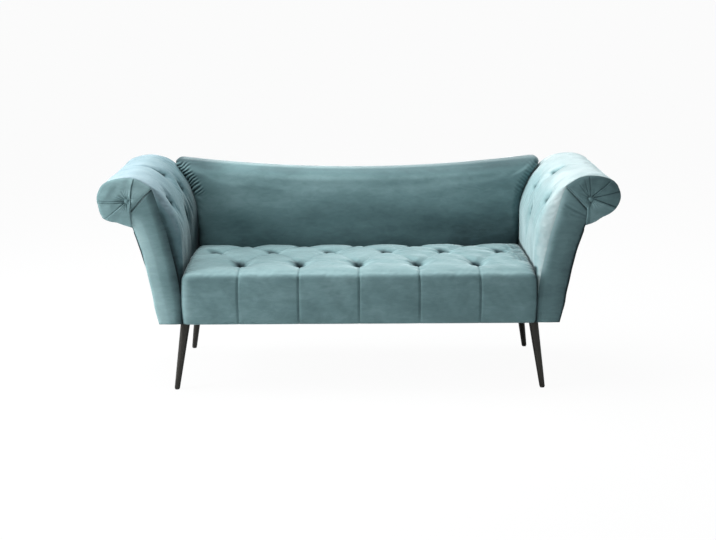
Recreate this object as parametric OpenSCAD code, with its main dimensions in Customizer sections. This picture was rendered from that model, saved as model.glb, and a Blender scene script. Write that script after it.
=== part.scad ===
// Fainting couch: a velvet settee with two flared and rolled arms, a low back that dips in the middle,
// a tufted seat with a channelled front, and four splayed metal legs.
// Millimetres, +Z up, front towards -Y. The origin is on the floor, in the middle of the outer box.
// Left and right are as seen from the front: left is -X.

/* [Seat] */
// Width between the two arms
seat_w = 1230; // [1000:10:1600]
// How far the seat's front face stands forward of the arms
seat_proud = 12; // [6:1:30]
// Depth from the seat's front face to the rear edge of its cover
seat_d = 562; // [500:2:600]
// Thickness of the foam block
seat_foam_t = 80; // [50:1:120]
// Thickness of the quilted wadding and velvet over the foam
seat_wadding_t = 36; // [26:1:60]
// Thickness of the padding in front of the front rail
seat_front_t = 20; // [16:1:34]
// Thickness of the cover behind the foam
seat_rear_t = 18; // [12:1:30]
// Radius of the seat's front edge
seat_edge_r = 36; // [20:1:50]
// Spacing of the front channels and of the tufts in a row
channel_pitch = 210; // [160:5:260]
// Depth of the channels in the front face
channel_depth = 8; // [2:1:12]
// Depth of the seat tufts
tuft_depth = 22; // [8:1:24]
// Radius of the dent round a tuft
tuft_r = 34; // [20:1:60]
// Depth of the creases that run from tuft to tuft
crease_depth = 7; // [0:1:10]
// How much lower the seat's front and rear edges are than its crown
seat_crown = 12; // [0:1:20]

/* [Arms] */
// How far each arm spreads outward beyond the seat's side
arm_spread = 285; // [240:5:340]
// Height from the frame's underside to the top of the roll
arm_h = 517; // [460:5:600]
// Thickness of the padded front facing
facing_t = 6; // [3:1:10]
// Thickness of the rear facing and of the outside back panel
rear_facing_t = 4; // [2:1:8]
// Thickness of the outside cover
outside_t = 3; // [2:0.5:5]
// Depth over which the arm's padding rolls over to its front edge
arm_fold_d = 52; // [20:1:80]
// Depth over which the padding rolls over to its rear edge
arm_rear_fold_d = 44; // [10:1:60]
// How far the padding drops at its rear edge
arm_rear_drop = 16; // [0:1:18]
// Depth of the arm tufts
arm_tuft_depth = 20; // [8:1:20]
// Radius of the dent round an arm tuft
arm_tuft_r = 38; // [24:1:60]
// How far the gathered scroll swells forward of the front facing
scroll_swell = 9; // [4:1:12]
// Depth of the pleats in the scroll
pleat_depth = 4; // [1:0.5:6]
// Diameter of the covered button in the scroll
button_d = 20; // [14:1:30]
// Height of the covered button
button_h = 8; // [5:0.5:12]

/* [Back] */
// Height of the back's middle above the frame's underside
back_h = 464; // [420:2:500]
// Thickness of the back at the seat, from its front face to the rear of its frame
back_t = 122; // [110:1:150]
// Rise of the back's corners above its middle
back_rise = 45; // [0:5:70]
// How far the back's top corners reach out over the arms, beyond the seat's side
back_reach = 71; // [40:1:80]
// Clearance between the back's sides and the arms' padding
back_gap = 4; // [3:1:12]
// How far the back leans rearward from the seat to its top
back_lean = 35; // [0:1:50]
// Crown of the back's front face
back_crown = 6; // [0:1:8]
// Radius of the back's top front edge
back_edge_r = 34; // [20:1:44]
// Thickness of the back's front wadding
back_wadding_t = 18; // [10:1:26]
// Thickness of the wadding over the top rail
back_top_t = 16; // [10:1:24]

/* [Legs] */
// Height of the frame's underside above the floor
leg_h = 246; // [120:1:320]
// Diameter of a leg at its top
leg_top_d = 34; // [28:1:40]
// Diameter of a leg at its foot
leg_foot_d = 19; // [18:0.5:26]
// Wall of the leg tube
leg_wall = 1.5; // [1:0.1:2.5]
// Splay of each leg, both sideways and to the front or rear, in degrees
leg_splay = 7.9; // [0:0.1:14]
// How far in from the arm's front or rear the middle of a leg's top is
leg_inset = 80; // [70:1:110]
// Length of a leg's top plate along the couch
plate_l = 80; // [74:1:90]
// Width of a leg's top plate
plate_w = 62; // [56:1:80]
// Thickness of a leg's top plate
plate_t = 3; // [2:0.5:5]
// Corner radius of a leg's top plate
plate_r = 8; // [3:1:12]
// Diameter of a foot glide
glide_d = 16; // [12:0.5:18]
// Height of the part of a glide that shows
glide_h = 4; // [2:0.5:8]
// Length of a glide's stem inside the tube
glide_stem_l = 22; // [12:1:40]

/* [Frame] */
// Thickness of the seat's front, side and cross rails
rail_t = 22; // [18:1:28]
// Height of the seat's rails
rail_h = 70; // [56:1:90]
// Height of the cross rails and corner blocks
low_rail_h = 50; // [36:1:54]
// Distance of each cross rail from the middle
cross_rail_x = 205; // [120:5:300]
// Depth of the rear rail's ledge in front of the back frame
ledge_d = 18; // [10:1:26]
// Thickness of the arm's bottom rail
arm_rail_t = 40; // [37:1:44]
// Thickness of the arm's front and rear boards
board_t = 18; // [12:1:24]
// Thickness of the arm's other rails
slat_t = 20; // [12:1:22]
// Width of the arm's other rails
slat_w = 40; // [24:1:46]
// Thickness of the bent liner under the arm's padding
liner_t = 3; // [2:0.5:5]
// Thickness of the back frame
back_frame_t = 24; // [22:1:30]
// Width of the back frame's stiles
stile_w = 60; // [40:1:80]
// Height of the back frame's bottom and top rails
back_rail_h = 50; // [40:1:60]
// Width of a webbing strap
webbing_w = 60; // [40:1:80]
// Thickness of a webbing strap
webbing_t = 2; // [1.5:0.1:3]
// Spacing of the webbing straps
webbing_pitch = 130; // [100:1:150]
// Thickness of the dust cover
dust_t = 1.5; // [1:0.1:3]

/* [Fasteners] */
// Shank diameter of the frame bolts
bolt_d = 8; // [6:1:8]
// Width across the corners of a bolt head
bolt_head_d = 14.4; // [12:0.1:15]
// Height of a bolt head
bolt_head_h = 5.5; // [4:0.1:7]
// How far in from the arm's front or rear the outer two of its three bolts are
arm_bolt_inset = 200; // [170:5:230]
// How far in from the back frame's stiles the outer two of its four bolts are
back_bolt_inset = 68; // [40:2:100]
// Diameter of a washer
washer_d = 18; // [16:0.5:19]
// Thickness of a washer
washer_t = 1.6; // [1:0.1:2]
// Diameter of a tee nut's flange
tee_flange_d = 21; // [18:0.5:22]
// Thickness of a tee nut's flange
tee_flange_t = 1.8; // [1:0.1:2.5]
// Outer diameter of a tee nut's barrel
tee_barrel_d = 10.4; // [9.5:0.1:12]
// Length of a tee nut's barrel
tee_barrel_l = 10; // [6:1:14]
// Shank diameter of the leg screws
screw_d = 4.5; // [3.5:0.1:5]
// Length of a leg screw's shank
screw_l = 30; // [20:1:34]
// Head diameter of a leg screw
screw_head_d = 9; // [7:0.5:10]
// Head height of a leg screw
screw_head_h = 2.6; // [2:0.1:3.5]
// Thickness of the twine that holds a tuft
twine_d = 2; // [1.5:0.1:3]
// Clearance on each side of a screw, bolt, stem or twine
fit = 0.3; // [0.2:0.05:0.5]

/* [Hidden] */
$fn = 48;
// Overrun of every cut
over = 1;

seat_half = seat_w / 2;
depth = seat_d + back_gap + back_t + rear_facing_t;
arm_d = depth - seat_proud;
front_y = -depth / 2;
rear_y = depth / 2;
arm_front_y = front_y + seat_proud;
arm_mid_y = (arm_front_y + rear_y) / 2;
base_z = leg_h;
deck_z = base_z + dust_t;
rail_top_z = deck_z + rail_h;
foam_z = rail_top_z + 2 * webbing_t;
foam_top_z = foam_z + seat_foam_t;
seat_top_z = foam_top_z + seat_wadding_t;
rail_front_y = front_y + seat_front_t;
frame_rear_y = rear_y - rear_facing_t;
back_frame_y = frame_rear_y - back_frame_t;
rear_rail_y = back_frame_y - ledge_d;
board_front_y = arm_front_y + facing_t;
seat_rear_y = front_y + seat_d;
bolt_bore_d = bolt_d + 2 * fit;
screw_bore_d = screw_d + 2 * fit;
bolt_z = deck_z + rail_h / 2;
bolt_ys = [for (k = [-1:1]) arm_mid_y + k * (arm_d / 2 - arm_bolt_inset)];
cavity_half = seat_half - 2 * back_wadding_t;
back_frame_half = cavity_half - 2 * fit;
back_bolt_reach = back_frame_half - stile_w - back_bolt_inset;
back_bolt_xs = [for (k = [-3:2:3]) k * back_bolt_reach / 3];
back_bolt_y = back_frame_y + back_frame_t / 2;
counterbore_h = bolt_head_h + washer_t + 2 * fit;
counterbore_d = washer_d + 2 * fit;
leg_ys = [arm_front_y + leg_inset, rear_y - leg_inset];
plate_inset = screw_head_d * 1.2;
screw_dx = plate_l / 2 - plate_inset;
screw_dy = plate_w / 2 - plate_inset;
block_margin = 3 * screw_head_d;

velvet = "#6f9799";
velvet_light = "#93b7b8";
wood = "#c9a673";
steel = "#9aa0a4";
gunmetal = "#3d3835";
foam_yellow = "#e6dcae";
jute = "#8d7b5a";
black_cloth = "#2b2b2b";

// Curves and shells

function mix(a, b, t) = a + (b - a) * t;
function steps(a, b, n) = [for (k = [0:n - 1]) mix(a, b, k / n)];
function reversed(p) = [for (i = [len(p) - 1:-1:0]) p[i]];
function arc_in(t) = t >= 1 ? 1 : sqrt(1 - pow(1 - max(t, 0), 2));
function bell(d, r) = exp(-pow(d / r, 2));
function total(v, i = 0) = i == len(v) ? 0 : v[i] + total(v, i + 1);

function curve_at(a, b, c, d, t) = b + ((c - a) * t + (2 * a - 5 * b + 4 * c - d) * t * t
    + (3 * b - a - 3 * c + d) * t * t * t) / 2;
// A smooth curve through the points p, with n steps from each point to the next
function smooth(p, n) = let (last = len(p) - 1) concat(
    [for (i = [0:last - 1], k = [0:n - 1])
        curve_at(p[max(i - 1, 0)], p[i], p[i + 1], p[min(i + 2, last)], k / n)], [p[last]]);
function left_of(p, i) = let (last = len(p) - 1, d = p[min(i + 1, last)] - p[max(i - 1, 0)])
    [-d.y, d.x] / norm(d);
function shifted(p, d) = [for (i = [0:len(p) - 1]) p[i] + left_of(p, i) * d];
// Length along the points p up to each of them
function run(p, i = 0, s = 0) = i == len(p) - 1 ? [s]
    : concat([s], run(p, i + 1, s + norm(p[i + 1] - p[i])));
function to_segment(p, a, b) = let (t = min(1, max(0, (p - a) * (b - a) / ((b - a) * (b - a)))))
    norm(p - a - t * (b - a));

// Triangles between two rows of points that run side by side
function stitch(p, a, b, i = 0, j = 0) =
    let (a_ends = i == len(a) - 1, b_ends = j == len(b) - 1)
    a_ends && b_ends ? [] :
    b_ends || (!a_ends && norm(p[a[i + 1]] - p[b[j]]) <= norm(p[a[i]] - p[b[j + 1]]))
        ? concat([[a[i], a[i + 1], b[j]]], stitch(p, a, b, i + 1, j))
        : concat([[a[i], b[j + 1], b[j]]], stitch(p, a, b, i, j + 1));
function grid(first, rows, cols, turned) =
    [for (j = [0:rows - 2], i = [0:cols - 2])
        let (a = first + j * cols + i, b = a + 1, d = a + cols, c = d + 1)
        each turned ? [[a, b, c], [a, c, d]] : [[a, d, c], [a, c, b]]];
function flat_list(g) = [for (row = g) each row];

// Closed shell between a grid of outer points and a grid of inner points, joined along all four edges
module shell(outer, inner) {
    rows = len(outer);
    cols = len(outer[0]);
    inner_rows = len(inner);
    inner_cols = len(inner[0]);
    first = rows * cols;
    p = concat(flat_list(outer), flat_list(inner));
    outer_start = [for (j = [0:rows - 1]) j * cols];
    outer_end = [for (j = [0:rows - 1]) j * cols + cols - 1];
    inner_start = [for (j = [0:inner_rows - 1]) first + j * inner_cols];
    inner_end = [for (j = [0:inner_rows - 1]) first + (j + 1) * inner_cols - 1];
    outer_front = [for (i = [0:cols - 1]) i];
    outer_back = [for (i = [0:cols - 1]) (rows - 1) * cols + i];
    inner_front = [for (i = [0:inner_cols - 1]) first + i];
    inner_back = [for (i = [0:inner_cols - 1]) first + (inner_rows - 1) * inner_cols + i];
    polyhedron(points = p, faces = concat(
        grid(0, rows, cols, false),
        grid(first, inner_rows, inner_cols, true),
        stitch(p, outer_front, inner_front),
        stitch(p, reversed(outer_back), reversed(inner_back)),
        stitch(p, reversed(outer_start), reversed(inner_start)),
        stitch(p, outer_end, inner_end)));
}

// A piece of the profile in X and Z, run from y0 to y1
module along_y(points, y0, y1) {
    translate([0, y1, 0]) rotate([90, 0, 0]) linear_extrude(y1 - y0) polygon(points);
}

// A box from its lowest corner to its highest
module box(low, high) {
    translate(low) cube(high - low);
}

module on_left() {
    mirror([1, 0, 0]) children();
}

module both_sides() {
    children();
    on_left() children();
}

// Seat frame

module seat_front_rail() {
    color(wood) box([-seat_half, rail_front_y, deck_z], [seat_half, rail_front_y + rail_t, rail_top_z]);
}

module seat_rear_rail() {
    color(wood) difference() {
        box([-seat_half, rear_rail_y, deck_z], [seat_half, frame_rear_y, rail_top_z]);
        for (x = back_bolt_xs) translate([x, back_bolt_y, deck_z - over]) {
            cylinder(d = bolt_bore_d, h = rail_h + 2 * over);
            cylinder(d = counterbore_d, h = counterbore_h + over);
        }
    }
}

module seat_side_rail() {
    color(wood) difference() {
        box([seat_half - rail_t, rail_front_y + rail_t, deck_z], [seat_half, rear_rail_y, rail_top_z]);
        for (y = bolt_ys) translate([seat_half - rail_t - over, y, bolt_z]) rotate([0, 90, 0])
            cylinder(d = bolt_bore_d, h = rail_t + 2 * over);
    }
}

module seat_cross_rails() {
    color(wood) both_sides()
        box([cross_rail_x - rail_t / 2, rail_front_y + rail_t, deck_z],
            [cross_rail_x + rail_t / 2, rear_rail_y, deck_z + low_rail_h]);
}

// Each block reaches past the leg's inner screws
module corner_blocks() {
    front = rail_front_y + rail_t;
    color(wood) both_sides() difference() {
        for (end = [[front, leg_ys[0] + screw_dy + block_margin - front],
            [rear_rail_y, leg_ys[1] - screw_dy - block_margin - rear_rail_y]])
            translate([seat_half - rail_t, end[0], deck_z]) linear_extrude(low_rail_h)
                polygon([[0, 0], [0, end[1]], [-abs(end[1]), 0]]);
        leg_screw_places() cylinder(d = screw_bore_d, h = screw_l + dust_t + plate_t);
    }
}

module webbing_front_to_back() {
    count = floor((seat_half - rail_t - webbing_w / 2) / webbing_pitch);
    color(jute) for (k = [-count:count])
        box([k * webbing_pitch - webbing_w / 2, rail_front_y, rail_top_z],
            [k * webbing_pitch + webbing_w / 2, back_frame_y - fit, rail_top_z + webbing_t]);
}

module webbing_side_to_side() {
    mid = (rail_front_y + seat_rear_y - seat_rear_t) / 2;
    color(jute) for (k = [-1.5:1:1.5])
        box([-seat_half + fit, mid + k * webbing_pitch - webbing_w / 2, rail_top_z + webbing_t],
            [seat_half - fit, mid + k * webbing_pitch + webbing_w / 2, foam_z]);
}

module dust_cover() {
    color(black_cloth) difference() {
        box([fit - outside_inner[0].x, board_front_y, base_z],
            [outside_inner[0].x - fit, frame_rear_y, deck_z]);
        box([-seat_half, board_front_y - over, base_z - over], [seat_half, rail_front_y, deck_z + over]);
        both_sides() leg_screw_places() cylinder(d = screw_bore_d, h = screw_l);
        for (x = back_bolt_xs) translate([x, back_bolt_y, base_z - over])
            cylinder(d = counterbore_d, h = dust_t + 2 * over);
    }
}

// Seat padding

// The tufts lie in three rows, and the middle row is shifted by half the spacing
tuft_row_shares = [0.27, 0.66, 0.94];
tuft_ys = [for (s = tuft_row_shares) front_y + s * seat_d];
function row_xs(row) = let (n = floor((seat_half - tuft_r) / channel_pitch))
    row == 1 ? [for (k = [-n - 1:n]) if (abs(k + 0.5) * channel_pitch < seat_half - tuft_r)
        (k + 0.5) * channel_pitch]
    : [for (k = [-n:n]) k * channel_pitch];
tufts = [for (row = [0:2], x = row_xs(row)) [x, tuft_ys[row]]];
creases = [for (a = tufts, b = tufts)
    if (b.y == tuft_ys[1] && a.y != b.y && abs(a.x - b.x) < channel_pitch * 0.6) [a, b]];

function channel(x) = pow(1 - abs(sin(180 * x / channel_pitch)), 3);
function dent(p) = tuft_depth * min(1, total([for (t = tufts) bell(norm(p - t), tuft_r)]));
function crease(p) = crease_depth * max([for (c = creases) bell(to_segment(p, c[0], c[1]), tuft_r / 2)]);

// Points on the seat's cross-section: place in Y and Z, and the outward direction there
seat_side_z = seat_top_z - seat_crown - seat_edge_r;
seat_profile = concat(
    [for (z = steps(base_z, seat_side_z, 4)) [[front_y, z], [-1, 0]]],
    [for (a = [0:30:60]) [[front_y + seat_edge_r * (1 - cos(a)), seat_side_z + seat_edge_r * sin(a)],
        [-cos(a), sin(a)]]],
    [for (y = concat(steps(front_y + seat_edge_r, tuft_ys[0], 3), steps(tuft_ys[0], tuft_ys[1], 5),
        steps(tuft_ys[1], tuft_ys[2], 4), [tuft_ys[2]]))
        [[y, seat_crown_z(y)], [0, 1]]],
    [[[seat_rear_y - fit, seat_top_z - seat_crown - seat_rear_t], [1, 0]],
     [[seat_rear_y, foam_z], [1, 0]]]);
function seat_crown_z(y) = seat_top_z - seat_crown * pow((y - front_y - seat_d / 2) / (seat_d / 2), 2);

// The sides are drawn in over the last stretch before the arms
seat_side_draw = seat_edge_r / 3;
function side_draw(x) = seat_side_draw * (1 - arc_in((seat_half - abs(x)) / seat_side_draw));
function seat_sink(x, q) = let (n = q[1], p = [x, q[0].x], front = max(-n.x, 0), top = max(n.y, 0))
    side_draw(x) + (p.y < tuft_ys[0] ? channel(x) * channel_depth * (front + top * 0.6) : 0)
        + top * max(dent(p), crease(p));
function seat_point(x, q) = let (at = q[0] - q[1] * seat_sink(x, q)) [x, at.x, at.y];

seat_step = channel_pitch / 8;
seat_steps = floor((seat_half - seat_side_draw) / seat_step);
seat_half_xs = [for (k = [1:seat_steps]) k * seat_step];
seat_xs = concat([seat_half, seat_half - seat_side_draw / 3], reversed(seat_half_xs), [0],
    -seat_half_xs, [-seat_half + seat_side_draw / 3, -seat_half]);

module seat_cover() {
    inner = [[rail_front_y, base_z], [rail_front_y, foam_top_z],
        [seat_rear_y - seat_rear_t, foam_top_z], [seat_rear_y - seat_rear_t, foam_z]];
    color(velvet_light) shell(
        [for (x = seat_xs) [for (q = seat_profile) seat_point(x, q)]],
        [for (x = [seat_half, -seat_half]) [for (p = inner) [x, p.x, p.y]]]);
}

module seat_foam() {
    color(foam_yellow) difference() {
        box([-seat_half + fit, rail_front_y, foam_z],
            [seat_half - fit, seat_rear_y - seat_rear_t, foam_top_z]);
        for (t = tufts) translate([t.x, t.y, foam_z - over])
            cylinder(d = twine_d + 4 * fit, h = seat_foam_t + 2 * over, $fn = 16);
    }
}

module seat_tuft_ties() {
    color(jute) for (t = tufts) translate([t.x, t.y, foam_z])
        cylinder(d = twine_d, h = seat_foam_t, $fn = 16);
}

// Arm profile, drawn for the right arm in X and Z.
// The shares are of arm_spread, from the seat's side, and of arm_h, from the frame's underside.

function arm_at(s) = [seat_half + s.x * arm_spread, base_z + s.y * arm_h];

// Full padding a hand's width behind the front, from the seat up, over the roll and down to the neck
pad_full_shares = [[0.002, 0.259], [0.002, 0.375], [0.002, 0.491], [0.002, 0.607], [0.021, 0.685],
    [0.06, 0.762], [0.123, 0.832], [0.2, 0.894], [0.351, 0.959], [0.509, 0.99], [0.649, 1],
    [0.818, 0.986], [0.937, 0.946], [1, 0.872], [0.975, 0.801], [0.877, 0.731], [0.73, 0.691],
    [0.586, 0.665]];
// The padding's front edge, where it meets the front facing
pad_front_shares = [[0.037, 0.259], [0.072, 0.375], [0.116, 0.491], [0.163, 0.607], [0.204, 0.685],
    [0.242, 0.762], [0.284, 0.843], [0.34, 0.925], [0.412, 0.957], [0.509, 0.987], [0.649, 1],
    [0.818, 0.986], [0.937, 0.95], [1, 0.872], [0.975, 0.801], [0.877, 0.731], [0.73, 0.691],
    [0.586, 0.665]];
// Outer face of the bent liner under the padding
liner_shares = [[0.123, 0.259], [0.151, 0.375], [0.2, 0.491], [0.256, 0.607], [0.312, 0.723],
    [0.361, 0.816], [0.425, 0.89], [0.523, 0.936], [0.642, 0.952], [0.761, 0.94], [0.86, 0.905],
    [0.902, 0.855], [0.881, 0.801], [0.796, 0.758], [0.691, 0.727], [0.6, 0.712]];
// Outer edge from the underside up to the neck under the roll
outside_shares = [[0.298, 0], [0.344, 0.104], [0.37, 0.201], [0.405, 0.298], [0.44, 0.395],
    [0.481, 0.491], [0.537, 0.588], [0.586, 0.665]];
// Heart of the scroll, where its button sits, and the corner of the fold below it
scroll_heart_share = [0.635, 0.845];
scroll_fold_share = [0.589, 0.778];
// The padding's control point at which the front facing gives way to the scroll
notch_index = 8;
pad_start_x_share = 0.002;
pad_front_x_share = 0.018;
liner_start_x_share = 0.116;
pad_detail = 2;

function from_shelf(x_share, shares) = smooth(concat(
    [[seat_half + x_share * arm_spread, foam_z]], [for (s = shares) arm_at(s)]), pad_detail);
pad_full = from_shelf(pad_start_x_share, pad_full_shares);
pad_front = from_shelf(pad_front_x_share, pad_front_shares);
liner_outer = from_shelf(liner_start_x_share, liner_shares);
liner_inner = shifted(liner_outer, -liner_t);
outside = smooth([for (s = outside_shares) arm_at(s)], pad_detail);
outside_inner = shifted(outside, outside_t);
pad_run = run(pad_full);
pad_last = len(pad_full) - 1;

// Arm tufts: place along the arm's depth, and place along the padding, both as shares
arm_tuft_shares = [[0.5, 0.525], [0.16, 0.42], [0.65, 0.42], [0.46, 0.315]];
// How far the crease of each tuft runs on over the roll
arm_crease_shares = [0.085, 0.04, 0.02, 0];
arm_tufts = [for (s = arm_tuft_shares) [arm_front_y + s.x * arm_d, s.y * pad_run[pad_last]]];
arm_crease_ends = [for (k = [0:len(arm_tufts) - 1])
    arm_tufts[k] + [0, arm_crease_shares[k] * pad_run[pad_last] + over]];
function arm_dent(p) = arm_tuft_depth * min(1,
    total([for (t = arm_tufts) bell(norm(p - t), arm_tuft_r)])
    + 0.4 * max([for (k = [0:len(arm_tufts) - 1])
        bell(to_segment(p, arm_tufts[k], arm_crease_ends[k]), arm_tuft_r / 2)]));

function rear_weight(i) = let (t = pad_run[i] / pad_run[pad_last]) min(1, 8 * t * (1 - t));
function pad_point(y, i) =
    let (front = arc_in((y - board_front_y) / arm_fold_d),
        rear = 1 - arc_in((frame_rear_y - y) / arm_rear_fold_d),
        sink = front * arm_dent([y, pad_run[i]]) * (1 - rear) + rear * rear_weight(i) * arm_rear_drop)
    mix(pad_front[i], pad_full[i], front)
        - (i == pad_last || i == 0 ? 0 : 1) * sink * left_of(pad_full, i);
function pad_row(y) = [for (i = [0:pad_last]) pad_point(y, i)];
pad_ys = concat([for (a = [90:-30:30]) board_front_y + arm_fold_d * (1 - sin(a))],
    steps(board_front_y + arm_fold_d, frame_rear_y - arm_rear_fold_d, 12),
    [for (a = [0:30:90]) frame_rear_y - arm_rear_fold_d * (1 - sin(a))]);

module arm_pad() {
    color(velvet) shell(
        [for (y = pad_ys) [for (p = pad_row(y)) [p.x, y, p.y]]],
        [for (y = [board_front_y, frame_rear_y]) [for (p = liner_outer) [p.x, y, p.y]]]);
}

module arm_liner() {
    color(wood) along_y(concat(liner_outer, reversed(liner_inner)), board_front_y, frame_rear_y);
}

board_outline = concat([[seat_half, deck_z], [seat_half, foam_z]], [liner_outer[0]], liner_inner,
    [liner_outer[len(liner_outer) - 1]], reversed(outside_inner));

module arm_board(y) {
    color(wood) intersection() {
        along_y(board_outline, y, y + board_t);
        box([seat_half, y - over, deck_z],
            [seat_half + 2 * arm_spread, y + board_t + over, base_z + 2 * arm_h]);
    }
}

module arm_front_board() {
    arm_board(board_front_y);
}

module arm_rear_board() {
    arm_board(frame_rear_y - board_t);
}

rails_y0 = board_front_y + board_t;
rails_y1 = frame_rear_y - board_t;

module arm_bottom_rail() {
    color(wood) difference() {
        box([seat_half, rails_y0, deck_z], [seat_half + arm_rail_t, rails_y1, rail_top_z]);
        for (y = bolt_ys) translate([seat_half - over, y, bolt_z]) rotate([0, 90, 0]) {
            cylinder(d = bolt_bore_d, h = arm_rail_t + 2 * over);
            translate([0, 0, arm_rail_t - tee_barrel_l]) cylinder(d = tee_barrel_d + 2 * fit,
                h = tee_barrel_l + 2 * over);
        }
        leg_screw_places() cylinder(d = screw_bore_d, h = screw_l + dust_t + plate_t);
    }
}

// Rail behind the liner above the seat, to which the liner is stapled
inner_rail_index = 5;
module arm_inner_rail() {
    edge = [for (i = [inner_rail_index:inner_rail_index + 2]) liner_inner[i]];
    color(wood) along_y(concat(edge, [for (p = reversed(edge)) p + [slat_t, 0]]), rails_y0, rails_y1);
}

module arm_roll_rail() {
    p = arm_at(scroll_heart_share);
    color(wood) box([p.x - slat_w / 2, rails_y0, p.y - slat_t / 2],
        [p.x + slat_w / 2, rails_y1, p.y + slat_t / 2]);
}

// Rail along the neck, to which the outside cover is tacked
module arm_tack_rail() {
    n = len(outside_inner);
    edge = [for (i = [n - 4:n - 1]) outside_inner[i]];
    color(wood) along_y(concat(edge, [for (p = reversed(edge)) p - [slat_t, 0]]), rails_y0, rails_y1);
}

module arm_outside_cover() {
    color(velvet) along_y(concat(outside_inner, reversed(outside)), board_front_y, frame_rear_y);
}

fold_corner = arm_at(scroll_fold_share);
notch = notch_index * pad_detail;
// The facing runs up beside the seat and then along the pad's front edge
facing_outline = concat([[seat_half + fit, base_z], [seat_half + fit, foam_z]],
    [for (i = [pad_detail:notch]) pad_front[i]], [fold_corner], reversed(outside));

module arm_front_facing() {
    color(velvet) along_y(facing_outline, arm_front_y, board_front_y);
}

module arm_rear_facing() {
    color(velvet) along_y(concat([[seat_half + pad_start_x_share * arm_spread, base_z]],
        pad_row(frame_rear_y), reversed(outside)), frame_rear_y, rear_y);
}

// Scroll: the velvet is gathered round the roll's end and drawn in under a covered button

scroll_outline = concat([for (i = [notch:pad_last]) pad_front[i]], [fold_corner]);
heart = arm_at(scroll_heart_share);
function cross_2d(a, b) = a.x * b.y - a.y * b.x;
function hit(d, a, b) = let (e = b - a, k = cross_2d(d, e), r = cross_2d(a - heart, e) / k,
    t = cross_2d(a - heart, d) / k) k != 0 && t >= 0 && t <= 1 && r > 0 ? r : 0;
function rim_radius(angle) = let (d = [cos(angle), sin(angle)], n = len(scroll_outline))
    max([for (i = [0:n - 1]) hit(d, scroll_outline[i], scroll_outline[(i + 1) % n])]) - fit;

pleat_angles = [90, 62, 35, 12, -24, -58, -90, -140, 122, 150, 180, 221];
spoke_count = 60;
pleat_half_angle = 1.5 * 360 / spoke_count;
function apart(a, b) = abs((a - b + 540) % 360 - 180);
function pleat(angle) = max([for (a = pleat_angles) 1 - min(1, apart(angle, a) / pleat_half_angle)]);
scroll_ring_shares = [0.22, 0.42, 0.64, 0.86, 1];
scroll_swell_shares = [0.55, 1, 0.95, 0.6, 0];
// One spoke runs through the fold's corner, the only inward corner of the outline
fold_spoke = atan2(fold_corner.y - heart.y, fold_corner.x - heart.x);
scroll_angles = [for (k = [0:spoke_count - 1]) fold_spoke + k * 360 / spoke_count];

function scroll_point(angle, ring) = let (button = button_d / 2 + 2 * fit, rim = rim_radius(angle),
    r = ring < 0 ? button : mix(button, rim, scroll_ring_shares[ring]),
    rise = ring < 0 ? 0 : scroll_swell_shares[ring],
    drop = ring < 0 || ring > 3 ? 0 : pleat(angle) * pleat_depth * rise)
    [heart.x + r * cos(angle), arm_front_y - rise * scroll_swell + drop, heart.y + r * sin(angle)];

module scroll_facing() {
    n = len(scroll_angles);
    rings = len(scroll_ring_shares);
    top = [for (ring = [-1:rings - 1], a = scroll_angles) scroll_point(a, ring)];
    rear = [for (a = scroll_angles) let (q = scroll_point(a, rings - 1)) [q.x, board_front_y, q.z]];
    p = concat(top, rear, [[heart.x, arm_front_y, heart.y], [heart.x, board_front_y, heart.y]]);
    centre = len(p) - 2;
    color(velvet_light) polyhedron(points = p, faces = concat(
        [for (i = [0:n - 1]) [centre, (i + 1) % n, i]],
        [for (ring = [0:rings], i = [0:n - 1])
            let (a = ring * n + i, b = ring * n + (i + 1) % n, c = b + n, d = a + n)
            each [[a, c, d], [a, b, c]]],
        [for (i = [0:n - 1]) [centre + 1, (rings + 1) * n + i, (rings + 1) * n + (i + 1) % n]]));
}

module scroll_button() {
    r = (pow(button_d / 2, 2) + pow(button_h, 2)) / (2 * button_h);
    color(velvet_light) translate([heart.x, arm_front_y, heart.y]) rotate([90, 0, 0]) intersection() {
        translate([0, 0, button_h - r]) sphere(r);
        cylinder(r = 2 * r, h = button_h + over);
    }
}

// Back

back_half = seat_half + back_reach;
back_corner_z = base_z + back_h + back_rise;
back_corner_r = back_edge_r / 2;
cavity_step = back_top_t / 4;
function back_top(x) = base_z + back_h + back_rise * pow(x / back_half, 2);
pad_rise = [for (i = [0:pad_last]) if (i <= 10 * pad_detail) [pad_full[i].y, pad_full[i].x]];
function back_side(z) = min(back_half, lookup(z, pad_rise) - back_gap);
function back_front(v) = seat_rear_y + back_gap + back_lean * pow(v, 1.5) - back_crown * sin(180 * v);

back_row_shares = [0, 0.15, 0.3, 0.46, 0.61, 0.74, 0.85, 0.93, 1];
back_us = [for (k = [-12:12]) sin(90 * k / 12)];
function corner_drop(u) = back_corner_r * (1 - arc_in((1 - abs(u)) * back_half / back_corner_r));
function side_points(w, y, z, lower) =
    [[w, frame_rear_y, z - lower], [w, (frame_rear_y + y) / 2, z - lower / 2]];
// One row of the back from its rear left edge round the front face to its rear right edge.
// The row lies at the share v of the back's height, at y on its face, and drop below the top.
function back_row(v, y, drop, narrow = 0) =
    let (lower = v * back_gap,
        w = back_side(mix(foam_z, back_corner_z - drop - back_corner_r, v) - lower) - narrow,
        face = [for (u = back_us) [u * w,
            min(frame_rear_y, y + back_corner_r * (1 - arc_in((1 - abs(u)) * w / back_corner_r))),
            mix(foam_z, back_top(u * back_half) - drop - corner_drop(u), v)]])
    concat(side_points(-w, y, face[0].z, lower), face, reversed(side_points(w, y, face[0].z, lower)));

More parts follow.
